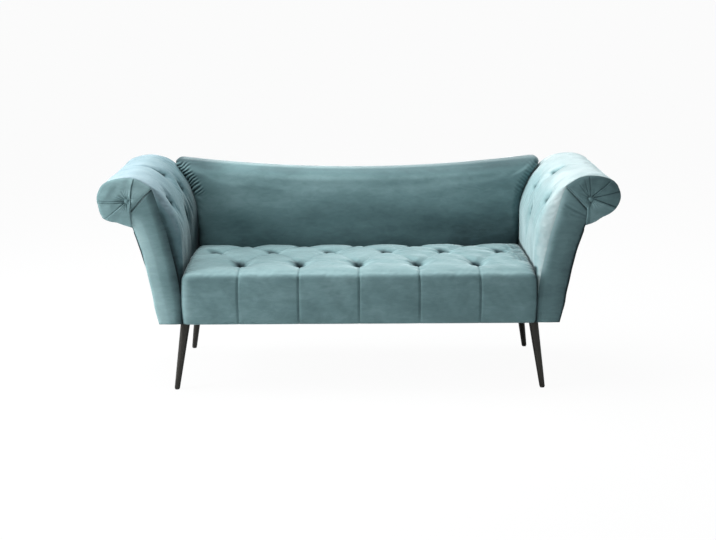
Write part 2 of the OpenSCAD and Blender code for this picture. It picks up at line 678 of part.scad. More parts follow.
module back_cover() {
    round_share = 1 - back_edge_r / (back_corner_z - foam_z);
    outer = concat(
        [for (s = back_row_shares) back_row(s * round_share, back_front(s * round_share), 0)],
        [for (a = [30, 60]) back_row(1, back_front(1) + back_edge_r * (1 - cos(a)),
            back_edge_r * (1 - sin(a)))],
        [back_row(1, frame_rear_y, 0, back_gap)]);
    rim_z = back_top(cavity_half) - back_top_t - 2 * cavity_step;
    low = [for (u = back_us) [u * cavity_half, back_front(0) + back_wadding_t, foam_z]];
    high = [for (u = back_us) let (x = u * cavity_half)
        [x, back_front(1) + back_wadding_t, back_top(x) - back_top_t - cavity_step]];
    rim = [for (u = back_us) let (x = u * (cavity_half - cavity_step))
        [x, frame_rear_y, back_top(x) - back_top_t]];
    inner = [for (row = [[low, foam_z], [high, rim_z - cavity_step], [rim, rim_z]])
        concat([[-cavity_half, frame_rear_y, row[1]]], row[0], [[cavity_half, frame_rear_y, row[1]]])];
    color(velvet) shell(outer, inner);
}

module back_foam() {
    y0 = back_front(0) + back_wadding_t + fit;
    y1 = back_front(1) + back_wadding_t + fit;
    y2 = back_frame_y - webbing_t;
    z1 = base_z + back_h - back_top_t - 2 * cavity_step;
    color(foam_yellow) translate([-back_frame_half, 0, 0]) rotate([90, 0, 90])
        linear_extrude(2 * back_frame_half) polygon([[y0, foam_z], [y2, foam_z], [y2, z1], [y1, z1]]);
}

top_rail_xs = [for (k = [-8:8]) back_frame_half * k / 8];
function top_rail_z(x, low) = back_top(x) - back_top_t - 3 * cavity_step - fit - low * back_rail_h;

module back_top_rail() {
    color(wood) along_y(concat([for (x = top_rail_xs) [x, top_rail_z(x, 0)]],
        [for (x = reversed(top_rail_xs)) [x, top_rail_z(x, 1)]]), back_frame_y, frame_rear_y);
}

module back_bottom_rail() {
    half = back_frame_half - stile_w;
    color(wood) difference() {
        box([-half, back_frame_y, rail_top_z], [half, frame_rear_y, rail_top_z + back_rail_h]);
        for (x = back_bolt_xs) translate([x, back_bolt_y, rail_top_z - over]) {
            cylinder(d = bolt_bore_d, h = back_rail_h + 2 * over);
            translate([0, 0, over + back_rail_h - tee_barrel_l])
                cylinder(d = tee_barrel_d + 2 * fit, h = tee_barrel_l + over);
        }
    }
}

// A post of the back frame between x0 and x1, from z up to the top rail
module back_post(x0, x1, z) {
    xs = concat([x0], [for (x = top_rail_xs) if (x > x0 && x < x1) x], [x1]);
    rail = [for (x = top_rail_xs) [x, top_rail_z(x, 1)]];
    color(wood) along_y(concat([[x0, z]], [for (x = xs) [x, lookup(x, rail)]], [[x1, z]]),
        back_frame_y, frame_rear_y);
}

module back_stile() {
    back_post(back_frame_half - stile_w, back_frame_half, rail_top_z);
}

module back_centre_stile() {
    back_post(-stile_w / 2, stile_w / 2, rail_top_z + back_rail_h);
}

module back_webbing() {
    z0 = rail_top_z + back_rail_h;
    z1 = top_rail_z(0, 1);
    color(jute) for (s = [1 / 6, 1 / 2, 5 / 6])
        box([-back_frame_half, back_frame_y - webbing_t, mix(z0, z1, s) - webbing_w / 2],
            [back_frame_half, back_frame_y, mix(z0, z1, s) + webbing_w / 2]);
}

module back_outside_panel() {
    side_z = back_corner_z - back_corner_r - back_gap;
    right = concat([[seat_half - back_gap, base_z]], [for (s = back_row_shares)
        let (z = mix(foam_z, side_z, s)) [back_side(z) - back_gap, z]]);
    top = [for (u = [1:-0.125:-1]) let (x = u * (back_half - back_corner_r)) [x, back_top(x) - back_gap]];
    left = [for (p = reversed(right)) [-p.x, p.y]];
    color(velvet) along_y(concat(right, top, left), frame_rear_y, rear_y);
}

// Legs

leg_tilt = atan(tan(leg_splay) * sqrt(2));
leg_drop = leg_h - plate_t - glide_h;
leg_l = leg_drop / cos(leg_tilt);
leg_run = leg_drop * tan(leg_splay);

// Place of a foot: side is -1 on the left and 1 on the right, end is -1 in front and 1 at the rear
function foot_at(side, end, z) = [side * (seat_half + leg_run),
    (end > 0 ? leg_ys[1] : leg_ys[0]) + end * leg_run, z];

// Leans a piece drawn up from its foot along the leg's axis
module splayed(side, end) {
    translate(foot_at(side, end, glide_h)) rotate([0, 0, atan2(end, side)])
        rotate([0, -leg_tilt, 0]) children();
}

module leg_cone(extra) {
    slope = (leg_top_d - leg_foot_d) / 2 / leg_l;
    reach = leg_top_d;
    translate([0, 0, -reach]) cylinder(r1 = leg_foot_d / 2 + extra - slope * reach,
        r2 = leg_top_d / 2 + extra + slope * reach, h = leg_l + 2 * reach);
}

module leg(side, end) {
    color(gunmetal) intersection() {
        splayed(side, end) difference() {
            leg_cone(0);
            leg_cone(-leg_wall);
        }
        box([-seat_w, -depth, glide_h], [seat_w, depth, base_z - plate_t]);
    }
}

module foot_glide(side, end) {
    translate(foot_at(side, end, 0)) cylinder(d = glide_d, h = glide_h);
    intersection() {
        splayed(side, end) translate([0, 0, -glide_d])
            cylinder(d = leg_foot_d - 2 * leg_wall - 4 * fit, h = glide_stem_l + glide_d);
        box([-seat_w, -depth, glide_h], [seat_w, depth, leg_h]);
    }
}

module foot_glides() {
    color("#1d1d1f") for (side = [-1, 1], end = [-1, 1]) foot_glide(side, end);
}

// The places of the screws of the right-hand leg plates, at the plates' underside
module leg_screw_places() {
    for (y = leg_ys, dx = [-1, 1], dy = [-1, 1])
        translate([seat_half + dx * screw_dx, y + dy * screw_dy, base_z - plate_t]) children();
}

module leg_plates() {
    color(gunmetal) both_sides() difference() {
        for (y = leg_ys) translate([seat_half, y, base_z - plate_t]) linear_extrude(plate_t) {
            square([plate_l, plate_w - 2 * plate_r], center = true);
            square([plate_l - 2 * plate_r, plate_w], center = true);
            for (dx = [-1, 1], dy = [-1, 1])
                translate([dx * (plate_l / 2 - plate_r), dy * (plate_w / 2 - plate_r)]) circle(plate_r);
        }
        leg_screw_places() translate([0, 0, -over]) cylinder(d = screw_bore_d, h = plate_t + 2 * over);
    }
}

module leg_screws() {
    color(steel) both_sides() leg_screw_places() {
        translate([0, 0, -screw_head_h]) cylinder(d = screw_head_d, h = screw_head_h);
        cylinder(d = screw_d, h = screw_l - screw_d);
        translate([0, 0, screw_l - screw_d]) cylinder(d1 = screw_d, d2 = screw_d / 5, h = screw_d);
    }
}

// Bolts: each arm is drawn up to the seat's side rail, and the back stands on the rear rail

arm_bolt_l = washer_t + rail_t + arm_rail_t;
back_bolt_l = rail_h + back_rail_h - counterbore_h + washer_t;

module bolt(l) {
    translate([0, 0, -bolt_head_h]) cylinder(d = bolt_head_d, h = bolt_head_h, $fn = 6);
    cylinder(d = bolt_d, h = l);
}

module washer() {
    difference() {
        cylinder(d = washer_d, h = washer_t);
        translate([0, 0, -over]) cylinder(d = bolt_bore_d, h = washer_t + 2 * over);
    }
}

module tee_nut() {
    difference() {
        union() {
            cylinder(d = tee_flange_d, h = tee_flange_t);
            translate([0, 0, -tee_barrel_l]) cylinder(d = tee_barrel_d, h = tee_barrel_l);
        }
        translate([0, 0, -tee_barrel_l - over])
            cylinder(d = bolt_bore_d, h = tee_barrel_l + tee_flange_t + 2 * over);
    }
}

// Places along the arm bolts' axes, x outward from the seat's side
module at_arm_bolts(x) {
    both_sides() for (y = bolt_ys) translate([seat_half + x, y, bolt_z]) rotate([0, 90, 0]) children();
}

module at_back_bolts(z) {
    for (x = back_bolt_xs) translate([x, back_bolt_y, z]) children();
}

module arm_bolts() {
    color(steel) at_arm_bolts(-rail_t - washer_t) bolt(arm_bolt_l);
}

module back_bolts() {
    color(steel) at_back_bolts(deck_z + counterbore_h - washer_t) bolt(back_bolt_l);
}

module bolt_washers() {
    color(steel) {
        at_arm_bolts(-rail_t - washer_t) washer();
        at_back_bolts(deck_z + counterbore_h - washer_t) washer();
    }
}

module tee_nuts() {
    color(steel) {
        at_arm_bolts(arm_rail_t) tee_nut();
        at_back_bolts(rail_top_z + back_rail_h) tee_nut();
    }
}

seat_front_rail();
seat_rear_rail();
on_left() seat_side_rail();  // seat_side_rail_left
seat_side_rail();  // seat_side_rail_right
seat_cross_rails();
corner_blocks();
webbing_front_to_back();
webbing_side_to_side();
seat_foam();
seat_tuft_ties();
seat_cover();
dust_cover();
on_left() arm_front_board();  // arm_front_board_left
on_left() arm_rear_board();  // arm_rear_board_left
on_left() arm_bottom_rail();  // arm_bottom_rail_left
on_left() arm_inner_rail();  // arm_inner_rail_left
on_left() arm_roll_rail();  // arm_roll_rail_left
on_left() arm_tack_rail();  // arm_tack_rail_left
on_left() arm_liner();  // arm_liner_left
on_left() arm_pad();  // arm_pad_left
on_left() arm_outside_cover();  // arm_outside_cover_left
on_left() arm_front_facing();  // arm_front_facing_left
on_left() arm_rear_facing();  // arm_rear_facing_left
on_left() scroll_facing();  // scroll_facing_left
on_left() scroll_button();  // scroll_button_left
arm_front_board();  // arm_front_board_right
arm_rear_board();  // arm_rear_board_right
arm_bottom_rail();  // arm_bottom_rail_right
arm_inner_rail();  // arm_inner_rail_right
arm_roll_rail();  // arm_roll_rail_right
arm_tack_rail();  // arm_tack_rail_right
arm_liner();  // arm_liner_right
arm_pad();  // arm_pad_right
arm_outside_cover();  // arm_outside_cover_right
arm_front_facing();  // arm_front_facing_right
arm_rear_facing();  // arm_rear_facing_right
scroll_facing();  // scroll_facing_right
scroll_button();  // scroll_button_right
back_bottom_rail();
back_top_rail();
on_left() back_stile();  // back_stile_left
back_stile();  // back_stile_right
back_centre_stile();
back_webbing();
back_foam();
back_cover();
back_outside_panel();
leg(-1, -1);  // leg_front_left
leg(1, -1);  // leg_front_right
leg(-1, 1);  // leg_rear_left
leg(1, 1);  // leg_rear_right
leg_plates();
leg_screws();
foot_glides();
arm_bolts();
back_bolts();
bolt_washers();
tee_nuts();
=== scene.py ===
from math import atan2, cos, pi, radians, sin, sqrt

import bmesh
import bpy
import numpy as np
from mathutils import Matrix, Vector
from mathutils.geometry import delaunay_2d_cdt


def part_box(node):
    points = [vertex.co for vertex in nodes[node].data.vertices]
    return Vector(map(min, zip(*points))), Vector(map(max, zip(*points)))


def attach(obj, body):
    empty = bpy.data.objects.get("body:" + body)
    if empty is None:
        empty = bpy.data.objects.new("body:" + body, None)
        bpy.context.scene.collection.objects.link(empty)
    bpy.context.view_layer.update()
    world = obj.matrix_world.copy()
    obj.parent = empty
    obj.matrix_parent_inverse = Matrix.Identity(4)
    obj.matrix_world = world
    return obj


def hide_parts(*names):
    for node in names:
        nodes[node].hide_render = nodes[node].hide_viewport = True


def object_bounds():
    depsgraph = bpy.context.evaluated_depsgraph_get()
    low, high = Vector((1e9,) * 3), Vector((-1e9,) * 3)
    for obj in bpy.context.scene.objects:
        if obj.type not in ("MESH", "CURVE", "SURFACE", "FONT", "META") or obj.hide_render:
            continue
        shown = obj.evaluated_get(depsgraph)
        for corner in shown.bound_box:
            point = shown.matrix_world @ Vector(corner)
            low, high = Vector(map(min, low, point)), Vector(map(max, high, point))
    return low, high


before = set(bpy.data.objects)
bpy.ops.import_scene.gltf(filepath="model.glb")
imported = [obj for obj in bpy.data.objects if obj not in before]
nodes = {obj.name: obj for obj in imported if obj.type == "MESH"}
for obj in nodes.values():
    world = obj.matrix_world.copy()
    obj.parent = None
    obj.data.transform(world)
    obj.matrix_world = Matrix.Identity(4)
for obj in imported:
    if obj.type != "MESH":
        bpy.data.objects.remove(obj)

cad_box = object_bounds()


# Legs. Four splayed tubes of steel, tapered to the foot and welded to a screwed top plate.
# They are powder coated in a dark bronze grey, a little worn where the plates and feet are handled.

class Tap:
    """One output of a shader node. Sums with it add Math nodes, and node() adds any other node."""

    def __init__(self, tree, socket=None):
        self.tree = tree
        self.socket = socket

    def node(self, kind, settings, inputs, output=0):
        made = self.tree.nodes.new("ShaderNode" + kind)
        for name, value in settings.items():
            if name == "stops":
                stops = made.color_ramp.elements
                stops[0].position, stops[1].position = value[0][0], value[-1][0]
                stops[0].color, stops[1].color = value[0][1], value[-1][1]
                for place, colour in value[1:-1]:
                    stops.new(place).color = colour
            else:
                setattr(made, name, value)
        for name, value in inputs.items():
            if isinstance(value, Tap):
                self.tree.links.new(value.socket, made.inputs[name])
            else:
                made.inputs[name].default_value = value
        return Tap(self.tree, made.outputs[output] if made.outputs else None)

    def math(self, operation, other):
        return self.node("Math", {"operation": operation}, {0: self, 1: other})

    def __add__(self, other):
        return self.math("ADD", other)

    def __sub__(self, other):
        return self.math("SUBTRACT", other)

    def __mul__(self, other):
        return self.math("MULTIPLY", other)


def srgb(red, green, blue):
    """A colour given in 0 to 255, as it looks on a screen."""
    shares = [c / 255 for c in (red, green, blue)]
    return tuple(s / 12.92 if s < 0.04045 else ((s + 0.055) / 1.055) ** 2.4 for s in shares) + (1,)


def new_finish(name):
    """An empty material, and the object's coordinates in it as a Tap."""
    made = bpy.data.materials.new(name)
    made.use_nodes = True
    made.node_tree.nodes.clear()
    return made, Tap(made.node_tree).node("TexCoord", {}, {}, 3)


def noise(at, scale, detail, **more):
    """Cloudy noise at a place."""
    return at.node("TexNoise", {}, {"Vector": at, "Scale": scale, "Detail": detail, **more})


def blend(share, first, second):
    """A colour between two."""
    return share.node("Mix", {"data_type": "RGBA"}, {0: share, 6: srgb(*first), 7: srgb(*second)}, 2)


def ramp(share, *stops):
    """A colour from a ramp with several stops."""
    stops = [(place, srgb(*colour)) for place, colour in stops]
    return share.node("ValToRGB", {"stops": stops}, {"Fac": share})


def relief(height, strength, distance):
    """A bump that follows a height."""
    return height.node("Bump", {}, {"Strength": strength, "Distance": distance, "Height": height})


def close_finish(surface):
    """Joins the finished surface to the material's output."""
    surface.node("OutputMaterial", {}, {"Surface": surface})


def plain_finish(colour, roughness, bump, metallic=0.0):
    """Ends a material with one plain surface."""
    close_finish(colour.node("BsdfPrincipled", {}, {
        "Base Color": colour, "Metallic": metallic, "Roughness": roughness, "Normal": bump}))


def clad(finish, *names):
    """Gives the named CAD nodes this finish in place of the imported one."""
    for name in names:
        slots = nodes[name].data.materials
        slots.clear()
        slots.append(finish)


leg_coat, at = new_finish("leg_powder_coat")
fine = noise(at, 900.0, 3.0)
cloudy = noise(at, 14.0, 4.0)
orange_peel = noise(at, 320.0, 1.0)
plain_finish(blend(cloudy * 0.5 + fine * 0.3, (36, 35, 33), (58, 56, 52)), cloudy * 0.22 + 0.3,
             relief(orange_peel + fine * 0.4, 0.25, 0.0004), metallic=0.75)
clad(leg_coat, "leg_front_left", "leg_front_right", "leg_rear_left", "leg_rear_right", "leg_plates")


# Foot glides. Round moulded plastic plugs, pressed into the tubes and scuffed on the floor side.

glide_finish, at = new_finish("glide_plastic")
grain = noise(at, 1400.0, 2.0)
scuff = noise(at, 160.0, 5.0)
plain_finish(blend(scuff, (22, 22, 24), (52, 50, 50)), scuff * 0.3 + 0.4, relief(grain, 0.3, 0.0002))
clad(glide_finish, "foot_glides")


# Seat frame and arm frames. Rails, blocks and boards sawn from pine, glued and stapled.

wood_finish, at = new_finish("frame_pine")
along = at.node("Mapping", {}, {"Vector": at, "Scale": (3.0, 22.0, 30.0)})
warp = noise(along, 1.6, 3.0)
rings = at.node("TexWave", {"wave_type": "RINGS", "rings_direction": "X"}, {
    "Vector": along, "Scale": 2.4, "Distortion": 5.0, "Detail": 2.0})
pores = noise(along, 28.0, 4.0)
tone = ramp(rings * 0.6 + warp * 0.3 + pores * 0.2, (0.0, (222, 190, 142)), (0.55, (205, 166, 112)),
            (1.0, (158, 112, 66)))
plain_finish(tone, pores * 0.25 + 0.55, relief(rings * 0.5 + pores, 0.3, 0.0008))
clad(wood_finish, "seat_front_rail", "seat_rear_rail", "seat_side_rail_left", "seat_side_rail_right",
     "seat_cross_rails", "corner_blocks", "back_bottom_rail", "back_top_rail", "back_stile_left",
     "back_stile_right", "back_centre_stile")
sides = ((1, "right"), (-1, "left"))
for side, name in sides:
    clad(wood_finish, *(f"arm_{piece}_{name}" for piece in (
        "front_board", "rear_board", "bottom_rail", "inner_rail", "roll_rail", "tack_rail")))


# Arm liners. Thin hardboard bent round the arm under its padding, brown with a pressed screen side.

board_finish, at = new_finish("liner_hardboard")
fibre = noise(at, 260.0, 6.0)
screen = at.node("TexVoronoi", {}, {"Vector": at, "Scale": 500.0})
plain_finish(blend(fibre, (96, 68, 44), (150, 113, 78)), fibre * 0.2 + 0.6,
             relief(screen + fibre, 0.3, 0.0004))
clad(board_finish, "arm_liner_left", "arm_liner_right")


# Bolts, washers, tee nuts and leg screws. Zinc-plated steel with the plating's faint clouds.

zinc_finish, at = new_finish("zinc_plate")
clouds = noise(at, 90.0, 5.0)
scratch = noise(at, 700.0, 2.0)
plain_finish(blend(clouds, (150, 152, 150), (196, 196, 188)), clouds * 0.3 + 0.25,
             relief(scratch, 0.2, 0.0002), metallic=1.0)
clad(zinc_finish, "arm_bolts", "back_bolts", "bolt_washers", "tee_nuts", "leg_screws")


# Webbing. Flat woven jute straps, stretched over the rails and stapled.

jute_finish, at = new_finish("jute_webbing")
warp, weft = (at.node("TexWave", {"bands_direction": run}, {"Vector": at, "Scale": 180.0, "Distortion": 0.4})
              for run in ("X", "Y"))
hairs = noise(at, 600.0, 4.0)
weave = warp.math("MAXIMUM", weft)
plain_finish(blend(weave * 0.6 + hairs * 0.4, (104, 84, 54), (178, 154, 112)), hairs * 0.15 + 0.8,
             relief(weave + hairs * 0.4, 0.6, 0.0008))


def mesh_piece(name, points, faces, finish, slot, node, fill=None):
    """A smooth piece made of points and faces, which stands for a CAD node and hides it. The slot is not
    used.
    """
    mesh = bpy.data.meshes.new(name)
    mesh.from_pydata(np.asarray(points, float).tolist(), [], faces)
    mesh.materials.append(finish)
    work = bmesh.new()
    work.from_mesh(mesh)
    bmesh.ops.recalc_face_normals(work, faces=work.faces)
    work.to_mesh(mesh)
    work.free()
    mesh.polygons.foreach_set("use_smooth", [True] * len(mesh.polygons))
    piece = bpy.data.objects.new(name, mesh)
    bpy.context.scene.collection.objects.link(piece)
    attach(piece, "root")
    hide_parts(node)
    return piece


def grid_of(x, y, z):
    """A grid of points. Each coordinate is given over the whole grid or along a part of it."""
    return np.stack(np.broadcast_arrays(x, y, z), axis=-1)


def squares(rows, columns):
    """The faces of a grid of points."""
    corner = (np.arange(rows - 1)[:, None] * columns + np.arange(columns - 1)).ravel()
    return np.stack([corner, corner + 1, corner + columns + 1, corner + columns], axis=1)


def around(rows, columns):
    """The points of a grid's border in order."""
    index = np.arange(rows * columns).reshape(rows, columns)
    return np.concatenate([index[0, :-1], index[:-1, -1], index[-1, :0:-1], index[:0:-1, 0]]).tolist()


def closed_pad(outer, inner, every=1):
    """Points and faces of a closed pad: an outer grid, a coarser inner grid, and a rim that joins them."""
    count = outer.shape[0] * outer.shape[1]
    rim, back = around(*outer.shape[:2]), around(*inner.shape[:2])
    faces = squares(*outer.shape[:2]).tolist() + (squares(*inner.shape[:2])[:, ::-1] + count).tolist()
    for k, corner in enumerate(back):
        own = [rim[(k * every + step) % len(rim)] for step in range(every + 1)]
        faces.append(own[::-1] + [corner + count, back[(k + 1) % len(back)] + count])
    return np.concatenate([outer.reshape(-1, 3), inner.reshape(-1, 3)]), faces


strap_w = 0.06
strap_pitch = 0.13


def straps(name, node, places, long_axis, wide_axis):
    """All straps of one CAD node as one piece. Each is flat with rolled edges, and lies at its place."""
    low, high = np.array(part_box(node))
    flat_axis = 3 - long_axis - wide_axis
    along, across = np.linspace(low[long_axis], high[long_axis], 41)[:, None], np.linspace(-1, 1, 15)
    edge = np.sqrt(np.clip(1 - np.abs(across) ** 8, 0.04, 1))
    points, faces = [], []
    for place in places:
        skins = np.zeros((2, 41, 15, 3))
        for skin, face in zip(skins, (0.5, -0.5)):
            skin[..., long_axis] = along
            skin[..., wide_axis] = place + strap_w / 2 * across
            skin[..., flat_axis] = (low + high)[flat_axis] / 2 + face * (high - low)[flat_axis] * edge
        own_points, own_faces = closed_pad(*skins)
        start = len(points) * len(own_points)
        faces += [[corner + start for corner in face] for face in own_faces]
        points.append(own_points)
    mesh_piece(name, np.concatenate(points), faces, jute_finish, "webbing", node)


cross_low, cross_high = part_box("webbing_side_to_side")
cross_middle = (cross_low.y + cross_high.y) / 2
back_low, back_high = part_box("back_webbing")
back_middle = (back_low.z + back_high.z) / 2
back_strap_gap = (back_high.z - back_low.z - strap_w) / 2
straps("seat_webbing_lengthways", "webbing_front_to_back", [k * strap_pitch for k in range(-4, 5)], 1, 0)
straps("seat_webbing_crossways", "webbing_side_to_side",
       [cross_middle + k * strap_pitch for k in (-1.5, -0.5, 0.5, 1.5)], 0, 1)
straps("back_webbing_straps", "back_webbing", [back_middle + k * back_strap_gap for k in (-1, 0, 1)], 0, 2)


# Foam. Blocks of pale yellow open-cell foam under the seat and in the back, cut square and glued down.
# The tufts' twine draws the seat block in from above.

foam_finish, at = new_finish("open_cell_foam")
cells = at.node("TexVoronoi", {}, {"Vector": at, "Scale": 700.0})
stain = noise(at, 9.0, 4.0)
plain_finish(blend(stain * 0.8 + cells * 0.2, (236, 224, 178), (208, 188, 128)), stain * 0.1 + 0.85,
             relief(cells, 0.7, 0.0008))

seat_low, seat_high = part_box("seat_cover")
foam_low, foam_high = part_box("seat_foam")
seat_half = seat_high.x
seat_front = seat_low.y
seat_depth = seat_high.y - seat_low.y
tuft_pitch = 0.21
tuft_rows = [seat_front + share * seat_depth for share in (0.27, 0.66, 0.94)]
row_places = [[-2, -1, 0, 1, 2], [-2.5, -1.5, -0.5, 0.5, 1.5, 2.5], [-2, -1, 0, 1, 2]]
seat_tufts = [(place * tuft_pitch, y) for y, places in zip(tuft_rows, row_places) for place in places]


def bell(distance, radius):
    """1 at the middle, fading out over about one radius."""
    return np.exp(-(distance / radius) ** 2)


def arc_in(share):
    """A quarter circle's rise from 0 to 1."""
    return np.sqrt(1 - (1 - np.clip(share, 0, 1)) ** 2)


def ease(share):
    """A smooth step from 0 to 1."""
    share = np.clip(share, 0, 1)
    return share * share * (3 - 2 * share)


def ripples(u, v, wavelength, seed):
    """Uneven gentle waves over a surface, about one wavelength apart and 1 high."""
    draw = np.random.default_rng(seed)
    angles = draw.uniform(0, 2 * pi, 14)
    phases = draw.uniform(0, 2 * pi, 14)
    rates = draw.uniform(0.7, 1.5, 14) * 2 * pi / wavelength
    waves = [np.cos(r * (u * cos(a) + v * sin(a)) + p) for a, p, r in zip(angles, phases, rates)]
    return sum(waves) / sqrt(7)


def near_tufts(x, y, tufts, radius):
    """How strongly the nearest tufts pull at each point, up to 1."""
    return np.minimum(1, sum(bell(np.hypot(x - a, y - b), radius) for a, b in tufts))


foam_corner = 0.006
foam_x = np.linspace(foam_low.x, foam_high.x, 121)[:, None]
foam_y = np.linspace(foam_low.y, foam_high.y, 57)
edge_gap = np.minimum(foam_high.x - np.abs(foam_x), np.minimum(foam_y - foam_low.y, foam_high.y - foam_y))
drop = foam_corner * (1 - arc_in(edge_gap / foam_corner))
dents = 0.016 * near_tufts(foam_x, foam_y, seat_tufts, 0.03) - 0.0003 * ripples(foam_x, foam_y, 0.05, 5)
foam_skins = [grid_of(foam_x, foam_y, z) for z in (foam_high.z - drop - dents, foam_low.z + drop)]
mesh_piece("seat_foam_block", *closed_pad(*foam_skins), foam_finish, "foam", "seat_foam", fill=1.0)

back_foam_low, back_foam_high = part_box("back_foam")
back_foam_rise = np.linspace(0, back_foam_high.z - back_foam_low.z, 41)[:, None]
foam_x = np.linspace(-back_foam_high.x, back_foam_high.x, 121)
edge_gap = np.minimum(back_foam_high.x - np.abs(foam_x), back_foam_rise[-1] - back_foam_rise)
foam_front = back_foam_low.y + 0.035 * back_foam_rise / back_foam_rise[-1]
foam_front = foam_front + 0.012 * (1 - arc_in(edge_gap / 0.012))
foam_skins = [grid_of(foam_x, y, back_foam_low.z + back_foam_rise) for y in (foam_front, back_foam_high.y)]
mesh_piece("back_foam_block", *closed_pad(*foam_skins), foam_finish, "foam", "back_foam", fill=1.0)


# Tuft ties. Waxed twine, drawn through the seat foam from each tuft and knotted under it.

twine_finish, at = new_finish("waxed_twine")
lay = at.node("TexWave", {"bands_direction": "DIAGONAL"}, {"Vector": at, "Scale": 900.0})
fuzz = noise(at, 1500.0, 3.0)
plain_finish(blend(lay * 0.5 + fuzz * 0.5, (150, 132, 98), (214, 200, 164)), fuzz * 0.2 + 0.6,
             relief(lay, 0.5, 0.0003))


def tube_faces(rings, spokes, start=0):
    """The faces of a tube made of rings of points."""
    first = start + np.arange(rings - 1)[:, None] * spokes
    a, b = first + np.arange(spokes), first + np.roll(np.arange(spokes), -1)
    return np.stack([a, b, b + spokes, a + spokes], axis=-1).reshape(-1, 4).tolist()


ties_low, ties_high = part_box("seat_tuft_ties")
turns = np.arange(12) * 2 * pi / 12
heights = np.linspace(ties_low.z, ties_high.z - 0.017, 25)[:, None]
tie_r = 0.0009 + 0.0002 * np.cos(2 * (turns + heights * 900))
tie_points, tie_faces = [], []
for x, y in seat_tufts:
    start = len(tie_points) * tie_r.size
    end = start + tie_r.size
    tie_points.append(grid_of(x + tie_r * np.cos(turns), y + tie_r * np.sin(turns), heights).reshape(-1, 3))
    tie_faces += tube_faces(*tie_r.shape, start)
    tie_faces += [list(range(start, start + len(turns)))[::-1], list(range(end - len(turns), end))]
mesh_piece("seat_twine_ties", np.concatenate(tie_points), tie_faces, twine_finish, "webbing",
           "seat_tuft_ties")


# Seat cover. One piece of quilted velvet over wadding: three rows of blind tufts with creases between them,
# sewn channels down the front, sides drawn in against the arms and a hem turned under the front rail.

def velvet(name, sheen, teal, mist, pale):
    """Short-pile velvet: a clouded nap and a fine pile. A value stored on each point paints light and shade:
    darker, down to near black and without sheen, where shade falls in folds and crevices, and paler where
    light falls.
    """
    made, at = new_finish(name)
    strokes = at.node("Mapping", {}, {"Vector": at, "Scale": (0.6, 1.0, 1.5)})
    clouds = noise(strokes, 7.0, 4.0, Roughness=0.6)
    brushed = noise(strokes, 42.0, 4.0, Distortion=0.8)
    pile = noise(at, 1500.0, 2.0)
    weave = at.node("TexWave", {"bands_direction": "Z"}, {"Vector": at, "Scale": 380.0, "Distortion": 1.0})
    pressed = at.node("Attribute", {"attribute_name": "pressed"}, {}, 2)
    tone = clouds * 0.55 + brushed * 0.3 + pile * 0.25 + weave * 0.02 - 0.07
    # Painted shade moves the colour down the ramp to its dark stops, painted highlights up to its pale ones.
    colour = ramp(tone * 0.5 + 0.25 - pressed * 0.25, (0.0, (16, 25, 28)), (0.25, (50, 70, 74)),
                  (0.5, teal), (0.75, mist), (1.0, pale))
    bump = relief(pile * 0.7 + weave * 0.1 + brushed * 0.5, 0.35, 0.0007)
    standing = at.node("BsdfPrincipled", {}, {
        "Base Color": colour, "Roughness": brushed * 0.2 + 0.68, "Specular IOR Level": 0.25 * sheen,
        "Sheen Weight": sheen, "Sheen Roughness": 0.32, "Sheen Tint": srgb(222, 238, 240), "Normal": bump})
    # A copy of the velvet without sheen, mixed in where the painted shade is deep, keeps painted crevices
    # dark.
    shade_surface = at.node("BsdfPrincipled", {}, {
        "Base Color": colour, "Roughness": 0.95, "Specular IOR Level": 0.1, "Normal": bump})
    painted_shade_share = at.node("Math", {"operation": "MULTIPLY_ADD", "use_clamp": True}, {
        0: pressed, 1: 1.1, 2: -0.75})
    close_finish(at.node("MixShader", {}, {0: painted_shade_share, 1: standing, 2: shade_surface}))
    return made


velvet_finish = velvet("teal_velvet", 1.0, (92, 120, 123), (134, 162, 165), (189, 200, 201))
# A shaded copy of the velvet, with little sheen and greyer colours, that stands in for the shade on the left
# arm's pad.
shaded_velvet_finish = velvet("teal_velvet_painted_shade", 0.3, (88, 114, 120), (134, 154, 162),
                            (192, 202, 210))


def paint_light_and_shade(piece, amount):
    """Stores the painted light and shade on each point, from 2 for deep painted shade to -2 for a painted
    highlight.
    """
    values = np.zeros(len(piece.data.vertices), np.float32)
    values[:amount.size] = np.clip(amount, -2, 2).ravel()
    piece.data.attributes.new("pressed", "FLOAT", "POINT").data.foreach_set("value", values)


def toward(values, target, weight):
    """Values moved to a target as far as the weight says."""
    return values + (target - values) * weight


def to_segment(x, y, a, b):
    """Distance of each point to the line from a to b, and how far along the line its nearest place is."""
    (ax, ay), (bx, by) = a, b
    long = (bx - ax) ** 2 + (by - ay) ** 2
    share = np.clip(((x - ax) * (bx - ax) + (y - ay) * (by - ay)) / long, 0, 1)
    return np.hypot(x - ax - share * (bx - ax), y - ay - share * (by - ay)), share


def stroke(x, y, a, b, width, fade, power=1.0, flare=0.0):
    """A soft mark from a to b, up to 1 high, which fades and widens on its way."""
    distance, share = to_segment(x, y, a, b)
    return bell(distance, width + flare * share) * (1 - fade * share) ** power


def run_along(points):
    """Length along a line up to each of its points."""
    return np.r_[0, np.cumsum(np.linalg.norm(np.diff(points, axis=0), axis=1))]


def spaced(points, count):
    """The points of a line moved to equal spacing."""
    points = np.asarray(points, float)
    run = run_along(points)
    return np.stack([np.interp(np.linspace(0, run[-1], count), run, column) for column in points.T], axis=1)


def softened(points, reach):
    """A line of evenly spaced points with its corners smoothed over some steps. Its ends stay."""
    span = 3 * reach
    weights = np.exp(-(np.arange(-span, span + 1) / reach) ** 2)
    before, after = 2 * points[0] - points[span:0:-1], 2 * points[-1] - points[-2:-span - 2:-1]
    padded = np.concatenate([before, points, after])
    return np.stack([np.convolve(column, weights / weights.sum(), "valid") for column in padded.T], axis=1)


